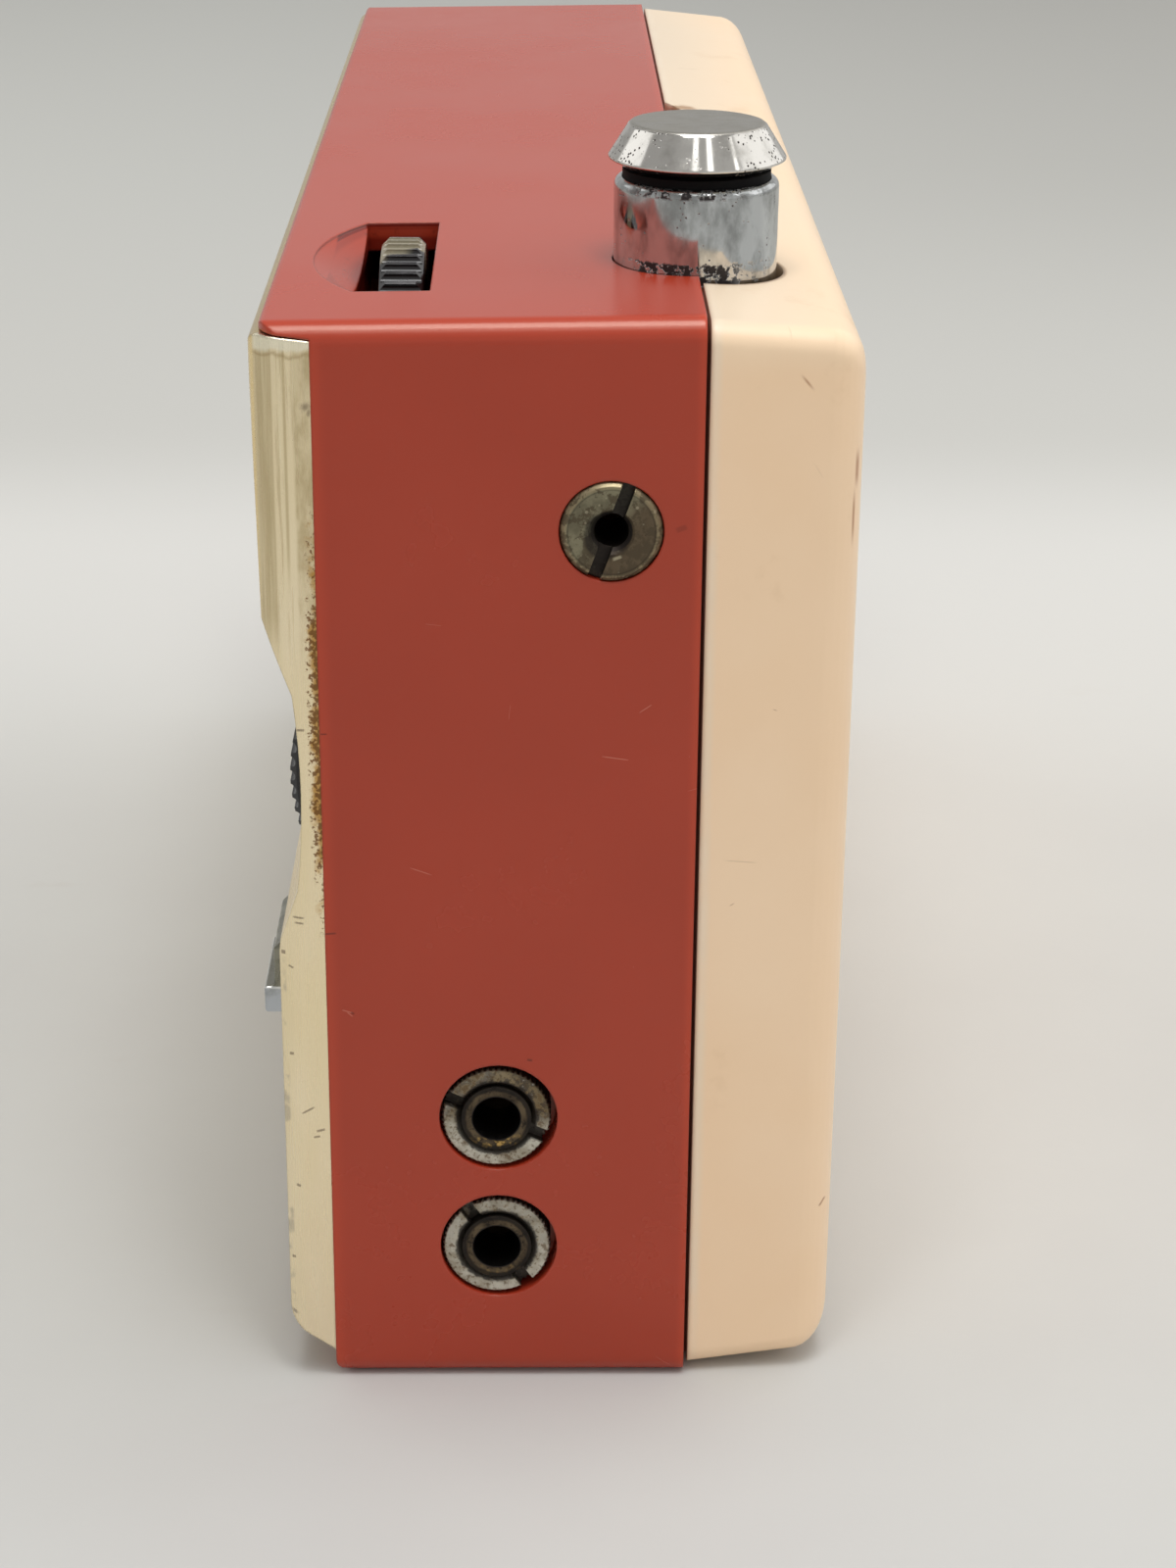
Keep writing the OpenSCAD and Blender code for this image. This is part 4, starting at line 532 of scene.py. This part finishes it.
# Round notched nut of a jack, with brown tarnish on one half and painted shade in its slots and round its
# edges
def nut_paint(name, centre, tarnish):
    p, colour, spots = worn_metal(name, linear(196, 192, 178), linear(158, 150, 132),
                                  linear(84, 64, 40), 0.45, 0.5, 0.13)
    grime = p.noise(0.6 * MM, 4.0, 0.65)
    upper = p.step(p.axis("Z"), (centre[1] - 0.8) * MM, (centre[1] + 0.6) * MM)
    right = p.step(p.axis("Y"), (centre[0] - 2.0) * MM, (centre[0] + 2.0) * MM, 0.75, 1.0)
    brown = p.times(upper, right, p.step(grime, 0.24, 0.42), tarnish)
    stain = p.mix(p.step(grime, 0.44, 0.6), linear(64, 50, 32), linear(128, 110, 76))
    colour = p.mix(brown, colour, stain)
    # Painted shade in the slots, painted shade with ragged grime in the gap next to the barrel, and painted
    # shade round the outer edge in the recess
    recess_shade = p.times(p.before("X", NUT_FACE_X - 0.25, 0.06),
                   p.step(p.noise(0.9 * MM, 3.0), 0.5, 0.66, 1.0, 0.35))
    away = p.plus(p.far(centre, "YZ"), p.times(p.math("SUBTRACT", grime, 0.5), 0.7 * MM))
    inner_gap_shade = p.step(away, NUT_R[0] * MM, (NUT_R[0] + 0.24) * MM, 1.0, 0.0)
    outer_gap_shade = p.step(away, NUT_R[1] * MM, (NUT_R[1] + 0.2) * MM)
    blots = p.times(p.step(grime, 0.53, 0.63), p.step(p.noise(2.0 * MM, 2.0), 0.42, 0.56), 0.75)
    colour = p.mix(p.most(p.times(spots, 0.6), blots), colour, linear(98, 76, 48))
    dark = p.most(p.times(recess_shade, 0.92), p.times(inner_gap_shade, 0.9), p.times(outer_gap_shade, 0.7))
    p.set("Base Color", p.mix(dark, colour, linear(34, 27, 22)))
    return p


# Barrel of a jack, with painted shade inside its bore and round its edge
def barrel_paint(name, centre, flecks):
    p, colour, spots = worn_metal(name, linear(98, 84, 63), linear(66, 55, 41),
                                  linear(34, 28, 23), 0.4, 0.7, 0.14)
    low = p.step(p.axis("Z"), (centre[1] - 2.0) * MM, (centre[1] - 1.2) * MM, 1.0, 0.0)
    golden = p.times(low, p.step(p.noise(0.5 * MM, 3.0), 0.5, 0.62), flecks)
    colour = p.mix(golden, colour, linear(196, 160, 92))
    away = p.far(centre, "YZ")
    # Painted shade: the bore is painted dark, and a ragged dark ring runs round the edge next to the nut
    bore_shade = p.step(away, JACK_BORE_R * MM, (JACK_BORE_R + 0.13) * MM, 1.0, 0.0)
    ragged = p.plus(away, p.times(p.noise(0.9 * MM, 3.0), 0.3 * MM))
    rim = p.times(p.step(ragged, 2.36 * MM, 2.56 * MM), 0.85)
    p.set("Base Color", p.mix(p.most(bore_shade, rim, p.times(spots, 0.6)), colour, linear(20, 17, 16)))
    return p


# Dark ridged plastic, with painted highlights on the tips of the ridges
def wheel_paint(name, centre, across, tip):
    p = Paint(name, linear(22, 19, 19), 0.26, Specular_IOR_Level=0.5)
    # Painted highlight: the tips of the ridges are painted paler
    tip_highlight = p.step(p.far(centre, across), (tip - 0.07) * MM, (tip - 0.01) * MM)
    cloud = p.noise(1.5 * MM, 3.0)
    colour = p.mix(p.step(cloud, 0.3, 0.8), linear(15, 12, 13), linear(25, 21, 22))
    p.set("Base Color", p.mix(p.times(tip_highlight, p.step(cloud, 0.3, 0.7, 0.2, 0.5)), colour, linear(78, 76, 78)))
    p.set("Roughness", p.step(cloud, 0.2, 0.8, 0.18, 0.3))
    p.bump(p.noise(0.3 * MM, 2.0), 0.004 * MM, p.soft_edges(0.06 * MM))
    return p


# Volume wheel, with a pale patch of painted reflection on its upper ridges
def volume_paint():
    p = wheel_paint("volume_wheel_plastic", VOLUME_AXIS, "XZ", VOLUME_R)
    colour = p.shader.inputs["Base Color"].links[0].from_socket
    slant = p.plus(p.axis("X"), p.times(p.axis("Y"), 0.6))
    # Painted reflection: a pale patch on the upper ridges towards the back
    patch = p.times(p.past("Z", 82.5, 0.4), p.step(slant, 49.6 * MM, 50.2 * MM, 1.0, 0.0),
                    p.past("X", 50.6, 0.2))
    p.set("Base Color", p.mix(p.times(patch, 0.6), colour, linear(170, 160, 132)))
    return p


# Chrome knob of the band switch, dull above its grip, with a painted highlight along the edge of its ledge
def knob_paint():
    p = Paint("knob_chrome", linear(178, 182, 186), 0.24, 1.0)
    haze = p.noise(1.6 * MM, 4.0, 0.6)
    grip = p.mix(p.step(haze, 0.4, 0.75), linear(182, 186, 190), linear(156, 159, 160))
    dull = p.mix(p.step(haze, 0.4, 0.75), linear(140, 138, 124), linear(116, 114, 100))
    colour = p.mix(p.past("Z", KNOB_LEDGE_Z - 0.06, 0.05), grip, dull)
    # Painted highlight: a thin bright line on the rounded edge just below the ledge
    line = p.slab("Z", KNOB_LEDGE_Z - 0.2, KNOB_LEDGE_Z - 0.02, 0.04)
    p.set("Base Color", p.mix(p.times(line, 0.8), colour, linear(226, 226, 222)))
    p.set("Roughness", p.step(haze, 0.3, 0.8, 0.2, 0.34))
    return p


# Plain moulded or coated surfaces of the inside
def plain_paint(name, colour, other, rough, metal=0.0, size=2.0, depth=0.015):
    p = Paint(name, colour, rough, metal)
    cloud = p.noise(size * MM, 4.0, 0.6)
    p.set("Base Color", p.mix(p.step(cloud, 0.3, 0.75), colour, other))
    p.set("Roughness", p.step(cloud, 0.2, 0.8, rough - 0.08, rough + 0.1))
    p.bump(p.noise(size * 0.2 * MM, 3.0), depth * MM)
    return p


# Fine wire laid turn by turn along an axis
def winding_paint(name, light, dark, letter, pitch):
    p = Paint(name, light, 0.35, 0.6)
    turns = p.math("SINE", p.times(p.axis(letter), 2 * math.pi / (pitch * MM)))
    share = p.step(turns, -1.0, 1.0)
    p.set("Base Color", p.mix(share, dark, light))
    p.set("Roughness", p.step(p.noise(1.0 * MM), 0.2, 0.8, 0.28, 0.45))
    p.bump(share, 0.08 * MM)
    return p


# Printed board, with copper fields and solder dots on its back
def board_paint():
    p = Paint("board", linear(150, 106, 58), 0.5)
    weave = p.noise(0.8 * MM, 3.0, 0.6, p.stretched((1, 1, 0.3)))
    colour = p.mix(p.step(weave, 0.3, 0.75), linear(150, 106, 58), linear(130, 88, 44))
    back = p.past("Y", BOARD_BACK_Y, 0.03)
    flat = p.stretched((1, 0, 1))
    fields = p.put("ShaderNodeTexVoronoi", {"Vector": flat, "Scale": 1 / (6 * MM), "Randomness": 0.9},
                   out="Distance", feature="DISTANCE_TO_EDGE")
    copper = p.times(back, p.step(fields, 0.07, 0.09))
    foil = p.mix(p.step(weave, 0.3, 0.7), linear(188, 128, 76), linear(168, 108, 62))
    colour = p.mix(copper, colour, foil)
    joints = p.put("ShaderNodeTexVoronoi", {"Vector": flat, "Scale": 1 / (4 * MM), "Randomness": 0.45})
    solder = p.times(back, p.step(joints, 0.2, 0.24, 1.0, 0.0))
    p.set("Base Color", p.mix(solder, colour, linear(196, 196, 192)))
    p.set("Metallic", p.most(p.times(copper, 0.6), p.times(solder, 0.9)))
    p.set("Roughness", p.step(weave, 0.2, 0.8, 0.36, 0.52))
    p.bump(p.plus(p.times(copper, 0.3), p.times(joints, solder, -2.0), solder), 0.2 * MM)
    return p


# Cells in plain banded jackets with bare metal ends
def cell_paint():
    p = Paint("cell_jacket", linear(46, 62, 84), 0.35, 0.3)
    low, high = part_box("battery_cells")
    middle = (low[0] + high[0]) / 2
    off = p.math("ABSOLUTE", p.math("SUBTRACT", p.axis("X"), middle))
    half = (high[0] - low[0]) / 2
    cloud = p.noise(3 * MM, 4.0, 0.6)
    colour = p.mix(p.step(cloud, 0.3, 0.75), linear(46, 62, 84), linear(40, 54, 74))
    band = p.band(off, half - 14 * MM, half - 5 * MM, 0.1 * MM)
    colour = p.mix(band, colour, linear(196, 170, 110))
    ends = p.most(p.step(off, half - 1.3 * MM, half - 1.2 * MM), p.step(off, 0.9 * MM, 1.0 * MM, 1.0, 0.0))
    p.set("Base Color", p.mix(ends, colour, linear(196, 196, 192)))
    p.set("Metallic", p.step(p.most(ends, p.times(band, 0.6)), 0.0, 1.0, 0.25, 1.0))
    p.set("Roughness", p.step(cloud, 0.2, 0.8, 0.28, 0.42))
    p.bump(p.noise(0.5 * MM, 3.0), 0.01 * MM)
    return p


dress(coral_paint(), "cabinet")
dress(cream_paint(), "back_cover")
dress(gold_paint(), "front_panel")
dress(collar_paint(), "aerial_collar")
dress(cap_paint(), "aerial_cap")
dress(chrome_paint("tube_chrome", (210, 212, 214), 0.1),
      "aerial_base_tube", "aerial_tube_2", "aerial_tube_3", "aerial_tube_4", "aerial_tube_5", "aerial_rod")
dress(nut_paint("upper_nut_nickel", UPPER_JACK, 0.95), "upper_jack_nut")
dress(nut_paint("lower_nut_nickel", LOWER_JACK, 0.3), "lower_jack_nut")
dress(barrel_paint("upper_jack_brass", UPPER_JACK, 0.9), "upper_jack")
dress(barrel_paint("lower_jack_brass", LOWER_JACK, 0.2), "lower_jack")
dress(bush_paint(), "aerial_socket")
dress(wheel_paint("tuning_wheel_plastic", TUNING_AXIS, "YZ", TUNING_R), "tuning_wheel")
dress(volume_paint(), "volume_wheel")
ring = plain_paint("ring_rubber", linear(9, 8, 9), linear(14, 12, 13), 0.7)
ring.set("Specular IOR Level", 0.12)
dress(ring, "aerial_ring")
dress(plain_paint("black_plastic", linear(22, 20, 20), linear(30, 27, 27), 0.45),
      "band_slider", "battery_tray")
dress(plain_paint("steel", linear(176, 174, 168), linear(150, 146, 138), 0.35, 1.0),
      "panel_nuts", "tuning_wheel_screw", "tuning_bracket", "bracket_screws", "volume_wheel_screw",
      "aerial_bracket", "aerial_socket_nut", "speaker_frame", "speaker_pole", "speaker_screws",
      "board_screws")
dress(plain_paint("brass", linear(190, 158, 92), linear(160, 128, 70), 0.35, 1.0),
      "tuning_shaft", "volume_shaft", "jack_contacts", "battery_contacts")
dress(plain_paint("dial_plastic", linear(236, 228, 206), linear(228, 218, 192), 0.5), "dial_drum")
window = plain_paint("clear_window", linear(236, 240, 240), linear(230, 235, 235), 0.12, 0.0, 2.0, 0.002)
window.set("Alpha", 0.14)
dress(window, "dial_window")
dress(plain_paint("brown_insulator", linear(92, 66, 46), linear(74, 52, 36), 0.5),
      "jack_blocks", "band_switch", "aerial_foot")
dress(plain_paint("control_shell", linear(156, 150, 140), linear(130, 124, 114), 0.4, 0.9), "volume_control")
dress(plain_paint("cream_fitting", linear(222, 214, 196), linear(206, 196, 172), 0.45),
      "tuning_capacitor", "rod_holders")
dress(plain_paint("speaker_paper", linear(52, 47, 43), linear(40, 36, 33), 0.9, 0.0, 1.0, 0.05),
      "speaker_cone", "speaker_dust_cap")
dress(plain_paint("felt", linear(58, 56, 54), linear(40, 38, 37), 0.9, 0.0, 0.6, 0.12), "speaker_gasket")
dress(plain_paint("magnet", linear(70, 68, 67), linear(56, 54, 53), 0.6), "speaker_magnet")
dress(plain_paint("ferrite", linear(58, 56, 56), linear(44, 43, 43), 0.55), "ferrite_rod")
dress(board_paint(), "circuit_board")
dress(plain_paint("can", linear(196, 198, 198), linear(172, 174, 174), 0.3, 1.0),
      "if_transformers", "transistors")
dress(plain_paint("transformer_core", linear(120, 112, 104), linear(92, 84, 76), 0.5, 0.7),
      "audio_transformers")
dress(plain_paint("blue_sleeve", linear(62, 86, 122), linear(52, 74, 108), 0.35), "electrolytics")
dress(plain_paint("resistor_tan", linear(176, 134, 88), linear(160, 116, 72), 0.45), "resistors")
dress(cell_paint(), "battery_cells")
dress(winding_paint("copper_winding", linear(196, 124, 66), linear(120, 66, 30), "X", 0.4), "aerial_coils")
dress(winding_paint("voice_winding", linear(196, 124, 66), linear(120, 66, 30), "Y", 0.3), "voice_coil")


# Numbers and ticks printed round the dial drum
PRINT_T = 0.03
LETTER_SIZE = 3.51
LETTER_CUT = 0.5
NUMBER_TURN = 24
TICK_EDGE = 1.6
TICK_LONG = 1.6
TICK_SHORT = 1.0
TICK_H = 0.25
TICKS_PER_NUMBER = 4
COLUMNS = (("88", "90", "92", "96", "100", "104", "106", "108"),
           ("53", "60", "70", "80", "100", "120", "140", "160"))


def wrapped(x, up, lift):
    """Place on the drum of a point that many millimetres above its front line."""
    turn = up / DRUM_R
    reach = DRUM_R + lift
    return Vector((x, TUNING_AXIS[0] - reach * math.cos(turn), TUNING_AXIS[1] + reach * math.sin(turn))) * MM


def add_number(shape, words, x, up):
    """Adds the outline of a number, wrapped on the drum."""
    curve = bpy.data.curves.new("number", "FONT")
    curve.body = words
    curve.size = LETTER_SIZE
    curve.align_x = "CENTER"
    curve.align_y = "CENTER"
    curve.extrude = PRINT_T
    curve.resolution_u = 4
    holder = bpy.data.objects.new("number", curve)
    flat = bpy.data.meshes.new_from_object(holder)
    bpy.data.objects.remove(holder)
    bpy.data.curves.remove(curve)
    number = bmesh.new()
    number.from_mesh(flat)
    bpy.data.meshes.remove(flat)
    bmesh.ops.remove_doubles(number, verts=number.verts, dist=0.002)
    for cut in range(-3, 4):
        every = list(number.verts) + list(number.edges) + list(number.faces)
        bmesh.ops.bisect_plane(number, geom=every, plane_co=(0, cut * LETTER_CUT, 0), plane_no=(0, 1, 0),
                               dist=1e-5)
    made = {}
    for vert in number.verts:
        made[vert] = shape.verts.new(wrapped(x + vert.co.x, up + vert.co.y, PRINT_T + vert.co.z))
    for face in number.faces:
        shape.faces.new([made[vert] for vert in face.verts])
    number.free()


def add_tick(shape, x0, x1, up, height):
    """Adds a flat bar, wrapped on the drum."""
    corners = []
    for lift in (0.0, 2 * PRINT_T):
        for x, rise in ((x0, -height), (x1, -height), (x1, height), (x0, height)):
            corners.append(shape.verts.new(wrapped(x, up + rise / 2, lift)))
    sides = [(3, 2, 1, 0), (4, 5, 6, 7), (0, 1, 5, 4), (1, 2, 6, 5), (2, 3, 7, 6), (3, 0, 4, 7)]
    for side in sides:
        shape.faces.new([corners[i] for i in side])


def print_material():
    """Dark ink of the dial."""
    p = Paint("dial_ink", linear(34, 30, 30), 0.5)
    cloud = p.noise(0.8 * MM, 3.0)
    p.set("Base Color", p.mix(p.step(cloud, 0.3, 0.75), linear(30, 27, 27), linear(52, 46, 44)))
    p.set("Roughness", p.step(cloud, 0.2, 0.8, 0.4, 0.6))
    return p.material


def add_piece(name, shape, material, body):
    """Turns a built shape into a piece that rides on a body."""
    mesh = bpy.data.meshes.new(name)
    bmesh.ops.recalc_face_normals(shape, faces=shape.faces)
    shape.to_mesh(mesh)
    shape.free()
    mesh.materials.append(material)
    piece = bpy.data.objects.new(name, mesh)
    scene.collection.objects.link(piece)
    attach(piece, body)
    return piece


def make_dial():
    """Two columns of plain numbers with a row of ticks beside each."""
    shape = bmesh.new()
    pitch = math.radians(NUMBER_TURN) * DRUM_R
    for side, column in enumerate(COLUMNS):
        middle = DRUM_X[0] + (DRUM_X[1] - DRUM_X[0]) * (0.3 + 0.4 * side)
        for row, words in enumerate(column):
            add_number(shape, words, middle, row * pitch)
    left = DRUM_X[0] + TICK_EDGE
    right = DRUM_X[1] - TICK_EDGE
    for tick in range(TICKS_PER_NUMBER * (len(COLUMNS[0]) - 1) + 1):
        up = tick * pitch / TICKS_PER_NUMBER
        length = TICK_LONG if tick % TICKS_PER_NUMBER == 0 else TICK_SHORT
        add_tick(shape, left, left + length, up, TICK_H)
        add_tick(shape, right - length, right, up, TICK_H)
    add_piece("dial_numbers", shape, print_material(), "tuning")


# Pointer of the dial
POINTER_HALF_H = 0.22
POINTER_T = 0.14
POINTER_EDGE = 2.4


def make_pointer():
    """Red line across the back of the dial window."""
    low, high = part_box("dial_window")
    back = high[1]
    half_h = POINTER_HALF_H * MM
    thick = POINTER_T * MM
    x0 = low[0] + POINTER_EDGE * MM
    x1 = high[0] - POINTER_EDGE * MM
    z = TUNING_AXIS[1] * MM
    shape = bmesh.new()
    rings = []
    for depth, inset in ((0.0, 0.0), (0.7 * thick, 0.0), (thick, 0.3 * half_h)):
        ring = []
        reach = half_h - inset
        for x, angles in ((x1 - half_h, range(-90, 91, 30)), (x0 + half_h, range(90, 271, 30))):
            for angle in angles:
                turn = math.radians(angle)
                place = (x + reach * math.cos(turn), back + depth, z + reach * math.sin(turn))
                ring.append(shape.verts.new(place))
        rings.append(ring)
    for first, second in zip(rings, rings[1:]):
        for i in range(len(first)):
            j = (i + 1) % len(first)
            shape.faces.new((first[i], first[j], second[j], second[i]))
    shape.faces.new(rings[0])
    shape.faces.new(rings[-1])
    p = Paint("pointer_red", linear(190, 40, 32), 0.4)
    cloud = p.noise(1.0 * MM, 3.0)
    p.set("Base Color", p.mix(p.step(cloud, 0.3, 0.75), linear(194, 42, 33), linear(172, 34, 27)))
    add_piece("dial_pointer", shape, p.material, "case")


# Band knob with a low grip in front of a thin plate
KNOB_LIP_T = 0.35
PLATE_T = 1.0
PLATE_RISE = 3.2
PLATE_SLANT = 0.8
PLATE_EDGE_T = 0.15
LEDGE_FILLET = 0.25
LEDGE_FILLET_MIDDLE = 0.08
KNOB_ROUNDING = 0.2


def make_knob():
    """Knob that stands for the CAD knob and lies inside it."""
    low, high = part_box("band_knob")
    back = high[1] - KNOB_LIP_T * MM
    front = low[1]
    foot = low[2]
    ledge = KNOB_LEDGE_Z * MM
    plate = back - PLATE_T * MM
    plate_top = ledge + PLATE_RISE * MM
    tip = plate_top + PLATE_SLANT * MM
    fillet = LEDGE_FILLET * MM
    middle = LEDGE_FILLET_MIDDLE * MM
    outline = [(back, foot), (back, tip), (back - PLATE_EDGE_T * MM, tip), (plate, plate_top),
               (plate, ledge + fillet), (plate - middle, ledge + middle), (plate - fillet, ledge),
               (front, ledge), (front, foot)]
    shape = bmesh.new()
    ends = []
    for x in (low[0], high[0]):
        ends.append([shape.verts.new((x, y, z)) for y, z in outline])
    count = len(outline)
    for i in range(count):
        j = (i + 1) % count
        shape.faces.new((ends[0][i], ends[0][j], ends[1][j], ends[1][i]))
    shape.faces.new(ends[0])
    shape.faces.new(ends[1])
    bmesh.ops.recalc_face_normals(shape, faces=shape.faces)
    sharp = [edge for edge in shape.edges if edge.calc_face_angle() > math.radians(35)
             and edge.is_convex and max(vert.co.y for vert in edge.verts) < back - 0.01 * MM]
    bmesh.ops.bevel(shape, geom=sharp, offset=KNOB_ROUNDING * MM, segments=3, profile=0.5, affect="EDGES")
    piece = add_piece("band_knob_ledge", shape, knob_paint().material, "band")
    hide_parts("band_knob")


make_dial()
make_pointer()
make_knob()


# Pale round floor with painted light and shade of a backdrop behind the part: a lighter pool, a darker bend
# and a darker wall, and pale again far away
FLOOR_R = 10.0
FLOOR_SIDES = 128
FLOOR_LIGHT_POOL_X = (-0.13, 0.02)
FLOOR_BEND_SHADE_X = (-0.2, -0.13)
FLOOR_WALL_SHADE_X = (-0.42, -0.19)
FLOOR_SIDE_Y = (-0.15, 0.2)
FLOOR_AWAY_R = (0.68, 1.6)


def make_floor():
    p = Paint("floor_paper", linear(202, 202, 199), 0.85, Specular_IOR_Level=0.2)
    mottle = p.noise(60 * MM, 4.0)
    near = p.mix(p.step(mottle, 0.3, 0.8), linear(202, 202, 199), linear(197, 196, 193))
    stain = p.times(p.step(p.noise(16 * MM, 4.0, 0.6, p.stretched((2.2, 0.8, 1))), 0.62, 0.78),
                    p.step(p.noise(90 * MM, 1.0), 0.5, 0.62))
    near = p.mix(p.times(stain, 0.3), near, linear(182, 173, 163))
    # Painted light and shade of a backdrop: a pool of light behind the part, shade at a bend, and a wall
    # farther back painted darker, more so to the right
    light = p.step(p.axis("X"), *FLOOR_LIGHT_POOL_X, 1.0, 0.0)
    bend_shade = p.step(p.axis("X"), *FLOOR_BEND_SHADE_X, 1.0, 0.0)
    wall_shade = p.step(p.axis("X"), *FLOOR_WALL_SHADE_X, 1.0, 0.0)
    far_colour = p.mix(p.step(p.axis("Y"), *FLOOR_SIDE_Y), linear(203, 203, 198), linear(189, 188, 183))
    colour = p.mix(light, near, linear(216, 215, 211))
    colour = p.mix(bend_shade, colour, linear(201, 200, 195))
    colour = p.mix(wall_shade, colour, far_colour)
    away = p.step(p.far((0.0, 0.0), "XY"), *FLOOR_AWAY_R)
    p.set("Base Color", p.mix(away, colour, linear(248, 248, 245)))
    p.bump(p.noise(1.5 * MM, 3.0), 0.02 * MM)
    rim = []
    for side in range(FLOOR_SIDES):
        turn = 2 * math.pi * side / FLOOR_SIDES
        rim.append((FLOOR_R * math.cos(turn), FLOOR_R * math.sin(turn), 0.0))
    mesh = bpy.data.meshes.new("floor")
    mesh.from_pydata(rim, [], [tuple(range(FLOOR_SIDES))])
    mesh.materials.append(p.material)
    floor = bpy.data.objects.new("floor", mesh)
    scene.collection.objects.link(floor)


make_floor()


# Soft studio light: each lamp's name, place, aim, size and power
PART_AIM = (0.02, 0.0, 0.06)
CAP_AIM = (0.054, 0.0135, 0.092)
LAMPS = (
    ("overhead", (0.12, 0.03, 0.9), PART_AIM, (0.33, 0.45), 2.95),
    ("left_strip", (0.32, -0.15, 0.88), PART_AIM, (0.13, 0.35), 0.9),
    ("right_strip", (0.32, 0.15, 0.88), PART_AIM, (0.13, 0.35), 0.9),
    ("left_streak", (0.62, -0.045, 0.915), CAP_AIM, (0.1, 0.3), 0.16),
    ("middle_streak", (0.6, 0.22, 0.905), CAP_AIM, (0.1, 0.3), 0.16),
    ("right_streak", (0.41, 0.72, 0.7), CAP_AIM, (0.06, 0.3), 0.12),
    ("right_fill", (-0.3, 0.73, 0.61), PART_AIM, (1.2, 0.9), 2.4),
    ("left_fill", (-0.3, -0.73, 0.61), PART_AIM, (0.6, 0.5), 0.8),
)

# Brightness of the surroundings from level to straight up, and its change across Y and X
WORLD_UP = (0.62, 0.4)
WORLD_ACROSS = (("Y", 0.8, 1.12), ("X", 0.92, 1.12))


def softbox(name, at, aim, size, power):
    """Rectangular soft light that faces a point."""
    data = bpy.data.lights.new(name, "AREA")
    data.shape = "RECTANGLE"
    data.size = size[0]
    data.size_y = size[1]
    data.energy = power
    light = bpy.data.objects.new(name, data)
    scene.collection.objects.link(light)
    light.location = at
    light.rotation_mode = "QUATERNION"
    light.rotation_quaternion = (Vector(aim) - Vector(at)).to_track_quat("-Z", "Y")


def make_world():
    """Even surroundings that are a little brighter near the horizon."""
    world = bpy.data.worlds.new("studio")
    world.use_nodes = True
    scene.world = world
    tree = world.node_tree
    way = tree.nodes.new("ShaderNodeTexCoord").outputs["Generated"]
    parts = tree.nodes.new("ShaderNodeSeparateXYZ")
    tree.links.new(way, parts.inputs[0])

    def rise(socket, low, high):
        """Level that goes from one value to another along a direction."""
        ramp = tree.nodes.new("ShaderNodeMapRange")
        ramp.inputs["From Min"].default_value = -1 if socket != "Z" else 0
        ramp.inputs["To Min"].default_value = low
        ramp.inputs["To Max"].default_value = high
        tree.links.new(parts.outputs[socket], ramp.inputs["Value"])
        return ramp.outputs[0]

    level = rise("Z", *WORLD_UP)
    for socket, low_level, high_level in WORLD_ACROSS:
        product = tree.nodes.new("ShaderNodeMath")
        product.operation = "MULTIPLY"
        tree.links.new(level, product.inputs[0])
        tree.links.new(rise(socket, low_level, high_level), product.inputs[1])
        level = product.outputs[0]
    back = tree.nodes["Background"]
    back.inputs["Color"].default_value = (1.0, 0.995, 0.98, 1.0)
    tree.links.new(level, back.inputs["Strength"])


for lamp in LAMPS:
    softbox(*lamp)
make_world()
